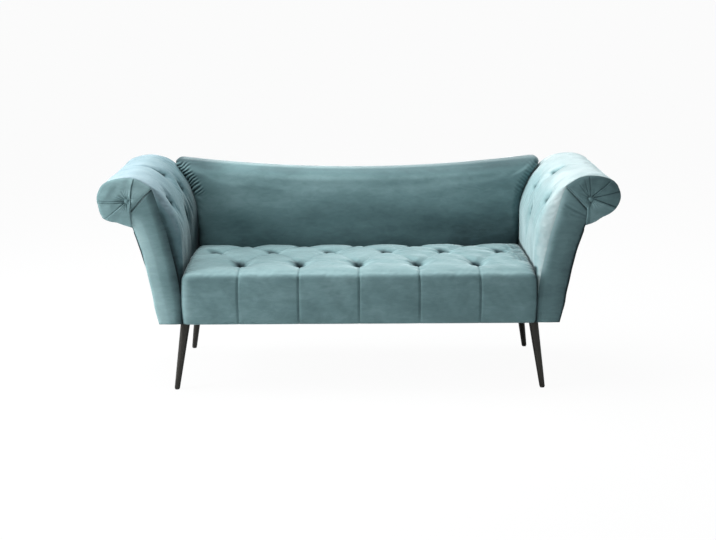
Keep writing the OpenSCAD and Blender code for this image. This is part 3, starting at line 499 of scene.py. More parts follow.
def left_of(points):
    """The direction to the left of a line at each of its points."""
    ahead = np.gradient(points, axis=0)
    return np.stack([-ahead[:, 1], ahead[:, 0]], axis=1) / np.linalg.norm(ahead, axis=1)[:, None]


def surface_normals(grid, outside):
    """Normals of a grid of points, turned to the side that outside points to."""
    normals = np.cross(np.gradient(grid, axis=0), np.gradient(grid, axis=1))
    normals /= np.maximum(np.linalg.norm(normals, axis=-1), 1e-9)[..., None]
    return normals * np.sign((normals * outside).sum(axis=-1).mean())


def eased_grid(grid):
    """A grid with each point moved half way to its neighbours. The border stays."""
    for _ in range(2):
        grid = grid.swapaxes(0, 1).copy()
        grid[1:-1] = (grid[:-2] + 2 * grid[1:-1] + grid[2:]) / 4
    return grid


cloth_rules = {
    "quality": 6, "mass": 0.25, "air_damping": 3.0, "tension_stiffness": 18.0, "compression_stiffness": 18.0,
    "shear_stiffness": 6.0, "bending_stiffness": 0.6, "vertex_group_mass": "stitched", "pin_stiffness": 1.0,
    "use_pressure": True}


def settled(grid, held, pressure, spare, limit):
    """The skin blown up as cloth: every second point is simulated, held where the stitches are, with some
    spare cloth to wrinkle. No point moves further than the limit."""
    coarse, stitches = grid[::2, ::2], held[::2, ::2]
    mesh = bpy.data.meshes.new("settling")
    mesh.from_pydata(coarse.reshape(-1, 3).tolist(), [], squares(*coarse.shape[:2]).tolist())
    outward = surface_normals(coarse, coarse - coarse.reshape(-1, 3).mean(axis=0))
    if np.cross(coarse[0, 1] - coarse[0, 0], coarse[1, 0] - coarse[0, 0]) @ outward[0, 0] < 0:
        mesh.flip_normals()
    cloth = bpy.data.objects.new("settling", mesh)
    bpy.context.scene.collection.objects.link(cloth)
    group = cloth.vertex_groups.new(name="stitched")
    for level in (0.25, 0.5, 0.75, 1.0):
        picked = np.flatnonzero((stitches.ravel() > level - 0.2) & (stitches.ravel() <= level + 0.05))
        group.add(picked.tolist(), level, "REPLACE")
    modifier = cloth.modifiers.new("cloth", "CLOTH")
    for rule, value in cloth_rules.items():
        setattr(modifier.settings, rule, value)
    modifier.settings.shrink_min = modifier.settings.shrink_max = -spare
    modifier.settings.uniform_pressure_force = pressure
    modifier.settings.effector_weights.gravity = 0.0
    modifier.collision_settings.use_collision = False
    for frame_number in range(1, 21):
        bpy.context.scene.frame_set(frame_number)
    still = cloth.evaluated_get(bpy.context.evaluated_depsgraph_get()).data
    found = np.zeros(len(still.vertices) * 3)
    still.vertices.foreach_get("co", found)
    bpy.data.objects.remove(cloth)
    bpy.context.scene.frame_set(1)
    moved = (found.reshape(coarse.shape) - coarse) * (1 - np.clip(stitches, 0, 1))[..., None]
    far = np.linalg.norm(moved, axis=-1)
    moved *= (limit * np.tanh(far / limit) / np.maximum(far, 1e-9))[..., None]
    fine = np.zeros(grid.shape)
    fine[::2, ::2] = moved
    fine[1::2] = (fine[:-1:2] + fine[2::2]) / 2
    fine[:, 1::2] = (fine[:, :-1:2] + fine[:, 2::2]) / 2
    return grid + eased_grid(fine)


seat_base = seat_low.z
seat_top = foam_high.z + 0.036
seat_crown = 0.012
seat_edge_r = 0.027
rear_edge_r = 0.02
hem_r = 0.005
rail_front = foam_low.y
seat_rear = seat_high.y
edge_z = seat_top - seat_crown - seat_edge_r
quarter = np.linspace(0, pi / 2, 16)
crown_y = np.linspace(seat_front + seat_edge_r, seat_rear - rear_edge_r, 90)
crown_share = (crown_y - seat_front) / (seat_depth / 2) - 1
seat_line = np.concatenate([
    [[rail_front, seat_base], [seat_front + hem_r, seat_base]],
    [[seat_front + hem_r * (1 - sin(a)), seat_base + hem_r * (1 - cos(a))] for a in quarter[1:]],
    [[seat_front - 0.0012 * sin(pi * t), seat_base + hem_r + (edge_z - seat_base - hem_r) * t]
     for t in np.linspace(0.03, 0.97, 30)],
    [[seat_front + seat_edge_r * (1 - cos(a) ** 0.78), edge_z + seat_edge_r * sin(a) ** 0.78]
     for a in quarter],
    np.stack([crown_y, seat_top - seat_crown * crown_share ** 2], axis=1)[1:],
    [[seat_rear - rear_edge_r * (1 - sin(a)), seat_top - seat_crown * 0.86 - rear_edge_r * (1 - cos(a))]
     for a in quarter[1:]],
    [[seat_rear, foam_low.z]]])
seat_line = softened(spaced(seat_line, 205), 2)
seat_line[:, 1] = np.maximum(seat_line[:, 1], seat_base)
seat_x = np.linspace(-seat_half, seat_half, 305)[:, None]
grid_x, line_y, line_z, out_y, out_z = np.broadcast_arrays(seat_x, *seat_line.T, *left_of(seat_line).T)
on_front, on_top = np.clip(-out_y, 0, 1), np.clip(out_z, 0, 1)
top_weight = ease((line_z - edge_z) / 0.03) * on_top

tuft_pull, tuft_well = (near_tufts(grid_x, line_y, seat_tufts, radius) for radius in (0.034, 0.019))
tuft_core = near_tufts(grid_x, line_y + 0.002, seat_tufts, 0.010)
sink = top_weight * (0.0125 * tuft_pull + 0.0110 * tuft_well + 0.0130 * tuft_core)
first_row, second_row = tuft_rows[:2]
crease_shade_mark = 0.0
for a in seat_tufts:
    for b in seat_tufts:
        if b[1] == second_row != a[1] and abs(a[0] - b[0]) < 0.6 * tuft_pitch:
            bow = 0.012 if a[1] < second_row else -0.012
            middle = ((a[0] + b[0]) / 2, (a[1] + second_row) / 2 + bow)
            for tuft in (a, b):
                crease = stroke(grid_x, line_y, tuft, middle, 0.010, 0.42, flare=0.012)
                sink = np.maximum(sink, 0.0085 * top_weight * crease)
                crease_shade_mark = np.maximum(crease_shade_mark, stroke(grid_x, line_y, tuft, middle, 0.006, 0.8))

channelled = np.abs(grid_x) < 2.5 * tuft_pitch
channel = (1 - np.abs(np.sin(pi * grid_x / tuft_pitch))) ** 2.2
seam_gap = np.abs((grid_x / tuft_pitch + 0.5) % 1 - 0.5) * tuft_pitch
seam_line = bell(seam_gap, 0.0028) * channelled
above_hem = ease((line_z - seat_base) / 0.06)
channel_depth = ease((first_row + 0.004 - line_y) / 0.03) * (0.55 + 0.45 * above_hem)
channel_depth = channel_depth * (on_front + 0.75 * on_top)
sink = sink + channel_depth * (0.0026 * channel + 0.0036 * seam_line) * channelled
waves = 0.0008 * ripples(grid_x, line_y + line_z, 0.11, 2)
waves = waves + 0.00015 * ripples(grid_x, line_y + line_z, 0.035, 3)
sink = sink + ease((line_z - seat_base) / 0.03) * waves

# Painted marks at each tuft: tuft_shade is painted shade in the well and in a wing from it, and tuft_light
# is a painted highlight on its rim. They are stretched in depth because the seat is seen at a low angle.
seen_y = 0.45
tuft_shade = tuft_light = 0.0
for x, y in seat_tufts:
    turn, reach = np.arctan2(line_y - y, grid_x - x), np.hypot(grid_x - x, line_y - y)
    sink = sink + 0.0011 * top_weight * np.cos(7 * turn + 9 * x) * bell(reach - 0.02, 0.012)
    start, end = (x, (y + 0.008) * seen_y), (x - 0.045, (y + 0.050) * seen_y)
    tuft_shade = np.maximum(tuft_shade, stroke(grid_x, line_y * seen_y, start, end, 0.0115, 1, 0.8, -0.004))
    start, end = (x + 0.004, (y - 0.028) * seen_y), (x + 0.046, (y + 0.030) * seen_y)
    tuft_light = np.maximum(tuft_light, stroke(grid_x, line_y * seen_y, start, end, 0.007, 0.7))

side_r = 0.026
side_gap = seat_half - np.abs(grid_x)
wrinkle_zone = top_weight * bell(side_gap - 0.042, 0.034) * (grid_x > 0)
wrinkle_zone = wrinkle_zone * ease((line_y - first_row + 0.02) / 0.08)
slanted = (grid_x + 0.27 * line_y) * 2 * pi / 0.021 + 2.2 * ripples(grid_x, line_y, 0.09, 5)
wrinkles = wrinkle_zone * np.sin(slanted)
side_draw = side_r * (0.55 - 0.27 * on_front) * (1 - arc_in(side_gap / side_r))
sink = sink + 0.0018 * wrinkles + side_draw * (1 - 0.6 * (line_z <= seat_base + 0.002))
bulge = 0.0045 * on_front * np.sin(pi * np.clip((line_z - seat_base) / (seat_top - seat_base), 0, 1))
seat_skin = grid_of(grid_x * (1 + bulge / seat_half), line_y - out_y * sink, line_z - out_z * sink)

seat_held = np.maximum(near_tufts(grid_x, line_y, seat_tufts, 0.012) * top_weight, seam_line * channel_depth)
seat_held = np.maximum(seat_held, 0.8 * (1 - ease((line_z - edge_z) / 0.035)) * (line_y < first_row))
seat_held[:3] = seat_held[-3:] = seat_held[:, :8] = seat_held[:, -6:] = 1
seat_skin = settled(seat_skin, seat_held, 2.5, 0.007, 0.005)
seat_skin[..., 2] = np.maximum(seat_skin[..., 2], seat_base)

inner_gap = 0.0005
inner_top, inner_rear = foam_high.z + inner_gap, foam_high.y + inner_gap
inner_y, inner_z = spaced([[rail_front, seat_base + 0.001], [rail_front, inner_top], [inner_rear, inner_top],
                           [inner_rear, foam_low.z + inner_gap]], 52).T
inner_x = np.linspace(-seat_half, seat_half, 77)[:, None]
inner_pull = near_tufts(inner_x, inner_y, seat_tufts, 0.03) * (inner_z > foam_high.z)
seat_inside = grid_of(inner_x, inner_y, inner_z - 0.015 * inner_pull)
seat_cover = mesh_piece("seat_cover_velvet", *closed_pad(seat_skin, seat_inside, 4), velvet_finish, "velvet",
                        "seat_cover", fill=0.85)

# Painted light and shade on the seat: painted shade in the tufts, creases, channel seams and wrinkles and in
# the crevices against the arms, a painted shadow along the hem, and darker towards the right. Painted
# highlights run along the front top edge, on the tuft rims and at the left front corner.
painted_shading = top_weight * (0.8 * tuft_core + 2.1 * tuft_shade + 0.6 * crease_shade_mark - 0.9 * tuft_light)
painted_shading = painted_shading - 0.5 * ease((line_z - edge_z - 0.012) / 0.014) * on_top
painted_shading = painted_shading + 0.45 * seam_line * channel_depth + 0.1 * grid_x * on_front
beside_arm = bell(side_gap, 0.011) + 0.35 * bell(side_gap, 0.035) * (grid_x > 0)
painted_shading = painted_shading + on_top * 1.3 * beside_arm - 0.5 * on_front * bell(side_gap - 0.008, 0.02) * (grid_x < 0)
painted_shading = painted_shading + 0.45 * wrinkles + 0.7 * wrinkle_zone + 0.12 * on_top * ease((grid_x - 0.3) / 0.2)
painted_shading = toward(painted_shading, 1.6, on_front * bell(line_z - seat_base, 0.0022))
paint_light_and_shade(seat_cover, toward(painted_shading, 2.0, bell(side_gap, 0.0035)))


# Arm pads. Velvet over wadding and foam on the hardboard liner, from the seat up the inside of the arm, over
# the roll and down to its neck. Four blind tufts and their creases draw it in. It rolls over at both ends.

arm_spread = cad_box[1][0] - seat_half
arm_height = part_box("arm_pad_right")[1].z - seat_base
arm_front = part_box("arm_front_facing_right")[0].y
pad_front_y, pad_rear_y = (corner.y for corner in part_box("arm_pad_right"))
arm_depth = pad_rear_y - pad_front_y + 0.01
roll_r = 0.052
seam_t = 0.0026
lip = 0.003
rear_fold_r = 0.044
rear_sink = 0.016
path_steps = 16
notch = 8 * path_steps

under_roll = [(1, 0.872), (0.975, 0.801), (0.877, 0.731), (0.73, 0.691), (0.586, 0.665)]
full_shares = [(0.002, 0.259), (0.002, 0.375), (0.004, 0.491), (0.012, 0.607), (0.038, 0.685),
               (0.088, 0.762), (0.156, 0.832), (0.238, 0.894), (0.374, 0.959), (0.515, 0.99),
               (0.649, 1), (0.818, 0.986), (0.937, 0.946)] + under_roll
front_shares = [(0.037, 0.259), (0.072, 0.375), (0.116, 0.491), (0.163, 0.607), (0.204, 0.685),
                (0.242, 0.762), (0.284, 0.843), (0.34, 0.925), (0.412, 0.957), (0.509, 0.987),
                (0.649, 1), (0.818, 0.986), (0.937, 0.95)] + under_roll
liner_shares = [(0.123, 0.259), (0.151, 0.375), (0.2, 0.491), (0.256, 0.607), (0.312, 0.723), (0.361, 0.816),
                (0.425, 0.89), (0.523, 0.936), (0.642, 0.952), (0.761, 0.94), (0.86, 0.905), (0.902, 0.855),
                (0.881, 0.801), (0.796, 0.758), (0.691, 0.727), (0.6, 0.712)]
outside_shares = [(0.298, 0), (0.344, 0.104), (0.37, 0.201), (0.405, 0.298), (0.44, 0.395), (0.481, 0.491),
                  (0.537, 0.588), (0.586, 0.665)]


def arm_at(shares):
    """Places in the arm's outline, given as shares of its spread and its height."""
    return np.asarray(shares) * [arm_spread, arm_height] + [seat_half, seat_base]


def drawn(points):
    """A smooth line through the points, with path_steps steps from each to the next."""
    ends = np.concatenate([points[:1], points, points[-1:]])
    t = np.arange(path_steps)[:, None] / path_steps
    parts = [b + ((c - a) * t + (2 * a - 5 * b + 4 * c - d) * t ** 2 + (3 * b - a - 3 * c + d) * t ** 3) / 2
             for a, b, c, d in zip(ends, ends[1:], ends[2:], ends[3:])]
    return np.concatenate(parts + [points[-1:]])


def from_shelf(start_share, shares):
    """An arm path that starts low beside the seat's foam."""
    return drawn(np.concatenate([[[seat_half + start_share * arm_spread, foam_low.z]], arm_at(shares)]))


full_path = from_shelf(0.002, full_shares)
front_path = from_shelf(0.018, front_shares)
liner_path = from_shelf(0.116, liner_shares)
outside_path = drawn(arm_at(outside_shares))
heart = arm_at((0.635, 0.845))
fold_corner = arm_at((0.589, 0.778))
pad_run = run_along(full_path)
pad_share = pad_run / pad_run[-1]
angles = np.linspace(0, pi / 2, 25)
pad_y = np.concatenate([
    [pad_front_y],
    pad_front_y + roll_r * (1 - np.cos(angles)),
    np.linspace(pad_front_y + roll_r, pad_rear_y - rear_fold_r, 183)[1:-1],
    pad_rear_y - rear_fold_r * (1 - np.cos(angles[:3:-1])),
    [pad_rear_y]])[:, None]
rolled = arc_in((pad_y - pad_front_y) / roll_r)
roll_turn = np.arccos(np.clip(1 - (pad_y - pad_front_y) / roll_r, 0, 1))
roll_run = roll_r * roll_turn
rear_fold = 1 - arc_in((pad_rear_y - pad_y) / rear_fold_r)
rear_weight = np.minimum(1, 8 * pad_share * (1 - pad_share))
pad_out = -left_of(full_path)
pad_out *= np.sign(((full_path - liner_path.mean(axis=0)) * pad_out).sum())
arm_tufts = [(arm_front + depth * arm_depth, share * pad_run[-1])
             for depth, share in ((0.5, 0.525), (0.16, 0.42), (0.65, 0.42), (0.46, 0.315))]


def roll_end(x, y, z, side):
    """The roll's front end: swollen at the left arm's low corner, drawn in on the right."""
    turn, reach = np.arctan2(z - heart[1], x - heart[0]), np.hypot(x - heart[0], z - heart[1])
    if side < 0:
        swell = 0.0125 * np.maximum(0, 1 - np.abs(turn - radians(-35)) / radians(29)) ** 1.15
    else:
        swell = -0.008 * bell(turn - radians(-52), radians(22))
    swell = swell * ease(reach / 0.07) * ease((pad_front_y + 0.16 - y) / 0.15)
    return x + swell * np.cos(turn), z + swell * np.sin(turn)


def arm_pad(side, name, finish, creases, seed):
    """The pad of one arm: side is 1 on the right. Each crease starts at a tuft, its first number. Then come
    its end from there in depth and height, its depth and its width."""
    flat = toward(front_path, full_path, rolled[..., None])
    points = grid_of(flat[..., 0], pad_y - seam_t * (1 - rolled), flat[..., 1])
    y, run = np.broadcast_arrays(pad_y, pad_run)
    pull, well, core = (near_tufts(y, run, arm_tufts, radius) for radius in (0.038, 0.020, 0.0105))
    slit = shade = mark = 0.0
    for (tuft_y, tuft_run), long in zip(arm_tufts, (0.050, 0.026, 0.026, 0.018)):
        start, end = (tuft_y, tuft_run - 0.006), (tuft_y - 0.006, tuft_run + long)
        slit = np.maximum(slit, stroke(y, run, start, end, 0.0048, 1, 0.7))
        start, end = (0.35 * (tuft_y + 0.008), tuft_run - 0.006), (0.35 * (tuft_y - 0.022), tuft_run + long)
        shade = np.maximum(shade, stroke(0.35 * y, run, start, end, 0.0068, 1, 0.6))
    sink = 0.013 * pull + 0.009 * well + 0.008 * core + 0.007 * slit
    for tuft, across, along, depth, width in creases:
        tuft_y, tuft_run = arm_tufts[tuft]
        distance, share = to_segment(y, run, (tuft_y, tuft_run), (tuft_y + across, tuft_run + along))
        fade = np.sin(pi * np.clip(0.5 + share / 2, 0, 1)) ** 0.7
        sink = np.maximum(sink, depth * fade * bell(distance, width * (1 + 0.8 * share)))
        mark = np.maximum(mark, fade * bell(distance, width * 0.45))
    for tuft_y, tuft_run in arm_tufts:
        turn, reach = np.arctan2(run - tuft_run, y - tuft_y), np.hypot(y - tuft_y, run - tuft_run)
        sink = sink + 0.0010 * np.cos(6 * turn + seed) * bell(reach - 0.022, 0.013)
    sink = sink + 0.0009 * ripples(y, run, 0.14, seed) + 0.0001 * ripples(y, run, 0.05, seed + 1)
    gathers = np.sin(run * 2 * pi / 0.019 + 2 * ripples(y, run, 0.08, seed + 2))
    sink = sink + 0.0006 * bell(y - pad_front_y, 0.012) * gathers
    ends = ease(np.minimum(pad_share, 1 - pad_share) / 0.03)
    depth = ends * ease(rolled / 0.5) * sink * (1 - rear_fold) + rear_fold * rear_weight * rear_sink
    below_scroll = ease((pad_run[notch] - run) / 0.09)
    puff = below_scroll * np.sin(pi * np.clip(roll_run / 0.070, 0, 1)) ** 1.5
    puff = puff * (0.007 if side < 0 else 0.0015)
    points[..., ::2] -= (depth - puff * np.sin(roll_turn))[..., None] * pad_out
    points[..., 1] -= puff * np.cos(roll_turn)
    points[..., 0], points[..., 2] = roll_end(points[..., 0], points[..., 1], points[..., 2], side)
    points[0, :, ::2] -= lip * pad_out
    points[0, :, 1] = pad_front_y - (lip / 2 if side < 0 else seam_t - 0.0006)
    held = np.maximum(near_tufts(y, run, arm_tufts, 0.012), slit)
    held[:4] = held[-12:] = held[:, :5] = held[:, -5:] = 1
    points = settled(points, held, 2.5, 0.010, 0.0035)
    liner_run = run_along(liner_path)
    inner_x, inner_z = (np.interp(pad_share[::4] * liner_run[-1], liner_run, line) for line in liner_path.T)
    pad_points, faces = closed_pad(points, grid_of(inner_x, pad_y[::4], inner_z), 4)
    piece = mesh_piece(f"arm_pad_velvet_{name}", pad_points * [side, 1, 1], faces, finish, "velvet",
                       f"arm_pad_{name}", fill=0.8)

    # Painted light and shade on the pad. The right pad is painted pale where light falls on it, most over
    # its roll. The left pad is painted darker low down and towards the back, where it is in shade, with
    # painted shade in the valley beside the facing and a painted highlight on the roll next to it under the
    # scroll. Both have painted shade in the tufts, creases and slits and in the crevice against the seat.
    over_top = ease((pad_share - 0.36) / 0.2)
    if side > 0:
        painted_shading = -0.75 - 0.95 * over_top - 0.7 * bell(y - pad_front_y, 0.035) * (1 - over_top)
    else:
        depth_share = ease((y - pad_front_y) / (pad_rear_y - pad_front_y))
        painted_shading = -0.6 - 0.4 * over_top + 1.75 * ease((0.75 - pad_share) / 0.5) * (0.25 + 0.75 * depth_share)
        painted_shading = painted_shading + 1.25 * ease((0.42 - pad_share) / 0.35)
        painted_shading = painted_shading + 1.25 * below_scroll * bell(roll_run - 0.003, 0.016)
        painted_shading = painted_shading - 0.45 * below_scroll * bell(roll_run - 0.042, 0.017)
    painted_shading = painted_shading * (1 - np.maximum.accumulate(ease((pad_out[:, 0] - 0.45) / 0.45) * (pad_share > 0.4)))
    painted_shading = painted_shading + 0.5 * core + 0.8 * near_tufts(y - 0.010, run, arm_tufts, 0.015) + 0.35 * mark
    corner = np.clip((seat_front + seat_edge_r - y) / seat_edge_r, 0, 1)
    seat_skin_z = seat_top - seat_edge_r * (1 - np.sqrt(1 - corner ** 2))
    beside, above = points[..., 0] - seat_half, points[..., 2] - seat_skin_z
    seat_gap = np.hypot(np.maximum(beside, 0), np.maximum(above, 0))
    painted_shading = np.maximum(painted_shading, toward(painted_shading, 1.45, bell(seat_gap, 0.0045 if side > 0 else 0.014)))
    paint_light_and_shade(piece, toward(painted_shading, 0.85 if side > 0 else 1.8, np.minimum(1, 1.15 * shade)))


arm_pad(1, "right", velvet_finish, [
    (0, -0.02, 0.13, 0.009, 0.011), (0, 0.06, -0.03, 0.005, 0.012), (1, 0.02, 0.05, 0.006, 0.010),
    (2, 0.01, 0.06, 0.006, 0.010), (3, 0.01, -0.07, 0.003, 0.012)], 11)
# The left pad takes the shaded copy of the velvet, which stands in for the shade on that arm's inner side.
arm_pad(-1, "left", shaded_velvet_finish, [
    (0, -0.05, 0.16, 0.012, 0.011), (0, 0.07, -0.02, 0.006, 0.012), (1, 0.03, 0.08, 0.011, 0.011),
    (1, 0.05, -0.05, 0.008, 0.012), (2, 0.02, 0.07, 0.007, 0.012), (2, -0.03, -0.12, 0.006, 0.014),
    (3, 0.01, -0.08, 0.003, 0.013)], 17)


# Arm front facings. A flat panel of velvet over thin wadding on each arm's front board, blind-stitched along
# the roll of the pad, tacked on the outer edge and folded in under the scroll.

facing_t = pad_front_y - arm_front
panel_rings = (0.0008, 0.002, 0.0042)
least_t = 0.0002


def looped(line):
    """A line with its first point again at its end."""
    return np.concatenate([line, line[:1]])


def line_distance(places, line):
    """Distance of each place to a line of points."""
    a, b = line[:-1], line[1:]
    ahead = b - a
    share = ((places[:, None] - a) * ahead).sum(axis=-1) / np.maximum((ahead ** 2).sum(axis=-1), 1e-12)
    near = a + np.clip(share, 0, 1)[..., None] * ahead
    return np.linalg.norm(places[:, None] - near, axis=-1).min(axis=1)


def inside_of(places, outline):
    """Whether each place lies within a closed outline."""
    crossed = np.zeros(len(places), bool)
    for a, b in zip(outline, np.roll(outline, -1, axis=0)):
        spans = (a[1] > places[:, 1]) != (b[1] > places[:, 1])
        rise = b[1] - a[1] if b[1] != a[1] else 1.0
        crossed ^= spans & (places[:, 0] < a[0] + (places[:, 1] - a[1]) / rise * (b[0] - a[0]))
    return crossed


def filled(outline, spacing):
    """Places and triangles that fill an outline, closer together near its edge."""
    edge = looped(outline)
    edge = spaced(edge, int(run_along(edge)[-1] / (spacing * 0.8)) + 1)
    corner_gap = np.linalg.norm(edge[:, None] - outline, axis=-1).argmin(axis=0)
    edge[corner_gap] = outline
    edge = edge[:-1]
    columns = np.arange(outline[:, 0].min(), outline[:, 0].max(), spacing)
    rows = np.arange(outline[:, 1].min(), outline[:, 1].max(), spacing * 0.87)
    grid = np.stack(np.meshgrid(columns, rows, indexing="ij"), axis=-1)
    grid[:, 1::2, 0] += spacing / 2
    grid = grid.reshape(-1, 2)
    grid = grid[inside_of(grid, outline)]
    closed = looped(edge)
    grid = grid[line_distance(grid, closed) > panel_rings[-1] + spacing * 0.4]
    rings = []
    for step in panel_rings:
        for turned in (step, -step):
            ring = edge + left_of(closed)[:-1] * turned
            ring = ring[inside_of(ring, outline)]
            rings.append(ring[line_distance(ring, closed) > step * 0.9])
    places = np.concatenate([edge, grid] + rings)
    found = delaunay_2d_cdt([Vector(p) for p in places], [], [list(range(len(edge)))], 1, 1e-6)
    return np.array([tuple(p) for p in found[0]]), [list(f) for f in found[2]], len(edge), found[3]


def panel(name, node, outline, spacing, shape, side=1, fill=None):
    """A thin closed velvet panel in the X and Z plane. shape gives the depth of its face and of its rear."""
    places, faces, edge_count, origin = filled(outline, spacing)
    face_y, rear_y = shape(places)
    first = {source: k for k, sources in enumerate(origin) for source in sources}
    rim = [first[k] for k in range(edge_count)]
    front = grid_of(places[:, 0], face_y, places[:, 1])
    rear = grid_of(places[rim, 0], rear_y, places[rim, 1])
    count = len(front)
    edges = [[rim[k], rim[(k + 1) % edge_count], count + (k + 1) % edge_count, count + k]
             for k in range(edge_count)]
    smooth = [True] * len(faces) + [False] * (edge_count + 1)
    faces = faces + edges + [list(range(count + edge_count - 1, count - 1, -1))]
    points = np.concatenate([front, rear]) * [side, 1, 1]
    piece = mesh_piece(name, points, faces, velvet_finish, "velvet", node, fill)
    piece.data.polygons.foreach_set("use_smooth", smooth)
    return piece, places


seam_path = front_path[:notch + 1].copy()
beside_seat = 1 - ease((seam_path[:, 1] - foam_low.z + 0.002) / 0.045)
facing_start = seat_half + 0.0008
seam_path[:, 0] -= (seam_path[:, 0] - facing_start) * beside_seat
facing_outline = np.concatenate([[[facing_start, seat_base]], seam_path, [fold_corner], outside_path[::-1]])
inner_edge = facing_outline[:notch + 2]
fold_edge = np.array([front_path[notch], fold_corner])


def facing_shape(tucks, side):
    """Depth of the facing: it rolls into the pad on the inner edge and turns in crisply on the others."""
    def shape(places):
        seam_gap, outer_gap = line_distance(places, inner_edge), line_distance(places, outside_path)
        into_pad = ease(seam_gap / 0.032)
        crisp = arc_in(outer_gap / 0.007) * arc_in((places[:, 1] - seat_base) / 0.004 + 0.02)
        under_fold = arc_in(line_distance(places, fold_edge) / 0.006 + 0.01)
        crown = (0.006 if side < 0 else 0.003) * np.minimum(1, outer_gap / 0.04) * into_pad
        droop = (facing_t - seam_t) * np.maximum(1 - seam_gap / 0.028, 0) ** 2
        if side < 0:
            droop = droop + 0.0006 * bell(seam_gap, 0.0016)
        rise = (facing_t + crown - droop) * crisp * under_fold
        rise += 0.00045 * into_pad * crisp * ripples(*places.T, 0.09, 31 + side)
        for a, b, depth, width in tucks:
            distance = to_segment(*places.T, a, b)[0]
            rise -= depth * (bell(distance, width) - 0.5 * bell(distance - 2.4 * width, width * 1.2)) * crisp
        return pad_front_y - np.maximum(rise, least_t), pad_front_y
    return shape


right_tucks = [(heart + [-0.058, 0.019], heart + [-0.015, -0.037], 0.0016, 0.0016),
               (heart + [-0.083, -0.021], heart + [-0.014, -0.060], 0.0016, 0.0032),
               (heart + [-0.064, -0.053], heart + [-0.014, -0.069], 0.0014, 0.0028)]
for (side, name), tucks in zip(sides, (right_tucks, [])):
    piece, places = panel(f"arm_front_facing_velvet_{name}", f"arm_front_facing_{name}",
                          facing_outline, 0.005, facing_shape(tucks, side), side, fill=0.7)
    outer_gap, inner_gap = line_distance(places, outside_path), line_distance(places, inner_edge)
    low, high = ease((seat_top - places[:, 1]) / 0.03), ease((places[:, 1] - 0.44) / 0.08)
    # Painted light and shade on the facings. The right one is paler along the pad's roll and darker at its
    # outer edge. The left one has a painted highlight along its outer edge and painted shade in the valley
    # by the pad. A painted shadow line runs along the outer edge, in the crevice against the seat and along
    # the bottom, with painted shade in the tucks and at the fold under the scroll.
    if side > 0:
        painted_shading = 0.12 - 1.1 * (1 - low) * bell(inner_gap, 0.013) + 0.45 * bell(outer_gap, 0.03)
        edge_shadow = bell(outer_gap, 0.0050)
    else:
        painted_shading = 0.2 - 1.1 * bell(outer_gap, 0.05) + 0.7 * bell(inner_gap, 0.020)
        edge_shadow = bell(outer_gap, 0.0032) * high
    painted_shading = toward(painted_shading, 2.0, low * bell(places[:, 0] - seat_half, 0.006))
    painted_shading = toward(painted_shading, 2.0, edge_shadow)
    painted_shading = toward(painted_shading, 1.6, bell(places[:, 1] - seat_base, 0.0022))
    for a, b, depth, width in tucks:
        distance, share = to_segment(*places.T, a, b)
        painted_shading = painted_shading + 0.4 * bell(distance, width) * share
    paint_light_and_shade(piece, 0.5 * bell(line_distance(places, fold_edge), 0.003) + 0.2 * bell(outer_gap, 0.002) + painted_shading)


# Scroll facings. The velvet of the roll's end is gathered in uneven pleats round a hole in the middle, where
# the covered button draws them in. On the left arm one wide flap laps over the rest.

scroll_line = spaced(looped(np.concatenate([front_path[notch:], [fold_corner]])), 2400) - heart
spokes = 288
spoke_turn = np.arange(spokes) * 2 * pi / spokes + atan2(*(fold_corner - heart)[::-1])
line_turn, line_reach = np.arctan2(*scroll_line.T[::-1]), np.linalg.norm(scroll_line, axis=1)
reach = np.interp(spoke_turn, line_turn, line_reach, period=2 * pi)
ring_share = np.r_[0.06, 0.14, np.linspace(0.2, 0.88, 24), 0.92, 0.95, 0.97, 0.985, 0.995, 1.0]
scroll_swell = 0.009


def capped(rings, middle):
    """Points and faces of a closed disc: rings of points round a middle, closed flat behind the last."""
    count, around_it = rings.shape[:2]
    step = np.arange(around_it)
    centre = np.full(around_it, rings.shape[0] * around_it)
    faces = tube_faces(count, around_it) + np.stack([centre, np.roll(step, -1), step], axis=1).tolist()
    faces.append(((count - 1) * around_it + step).tolist())
    return np.concatenate([rings.reshape(-1, 3), [middle]]), faces


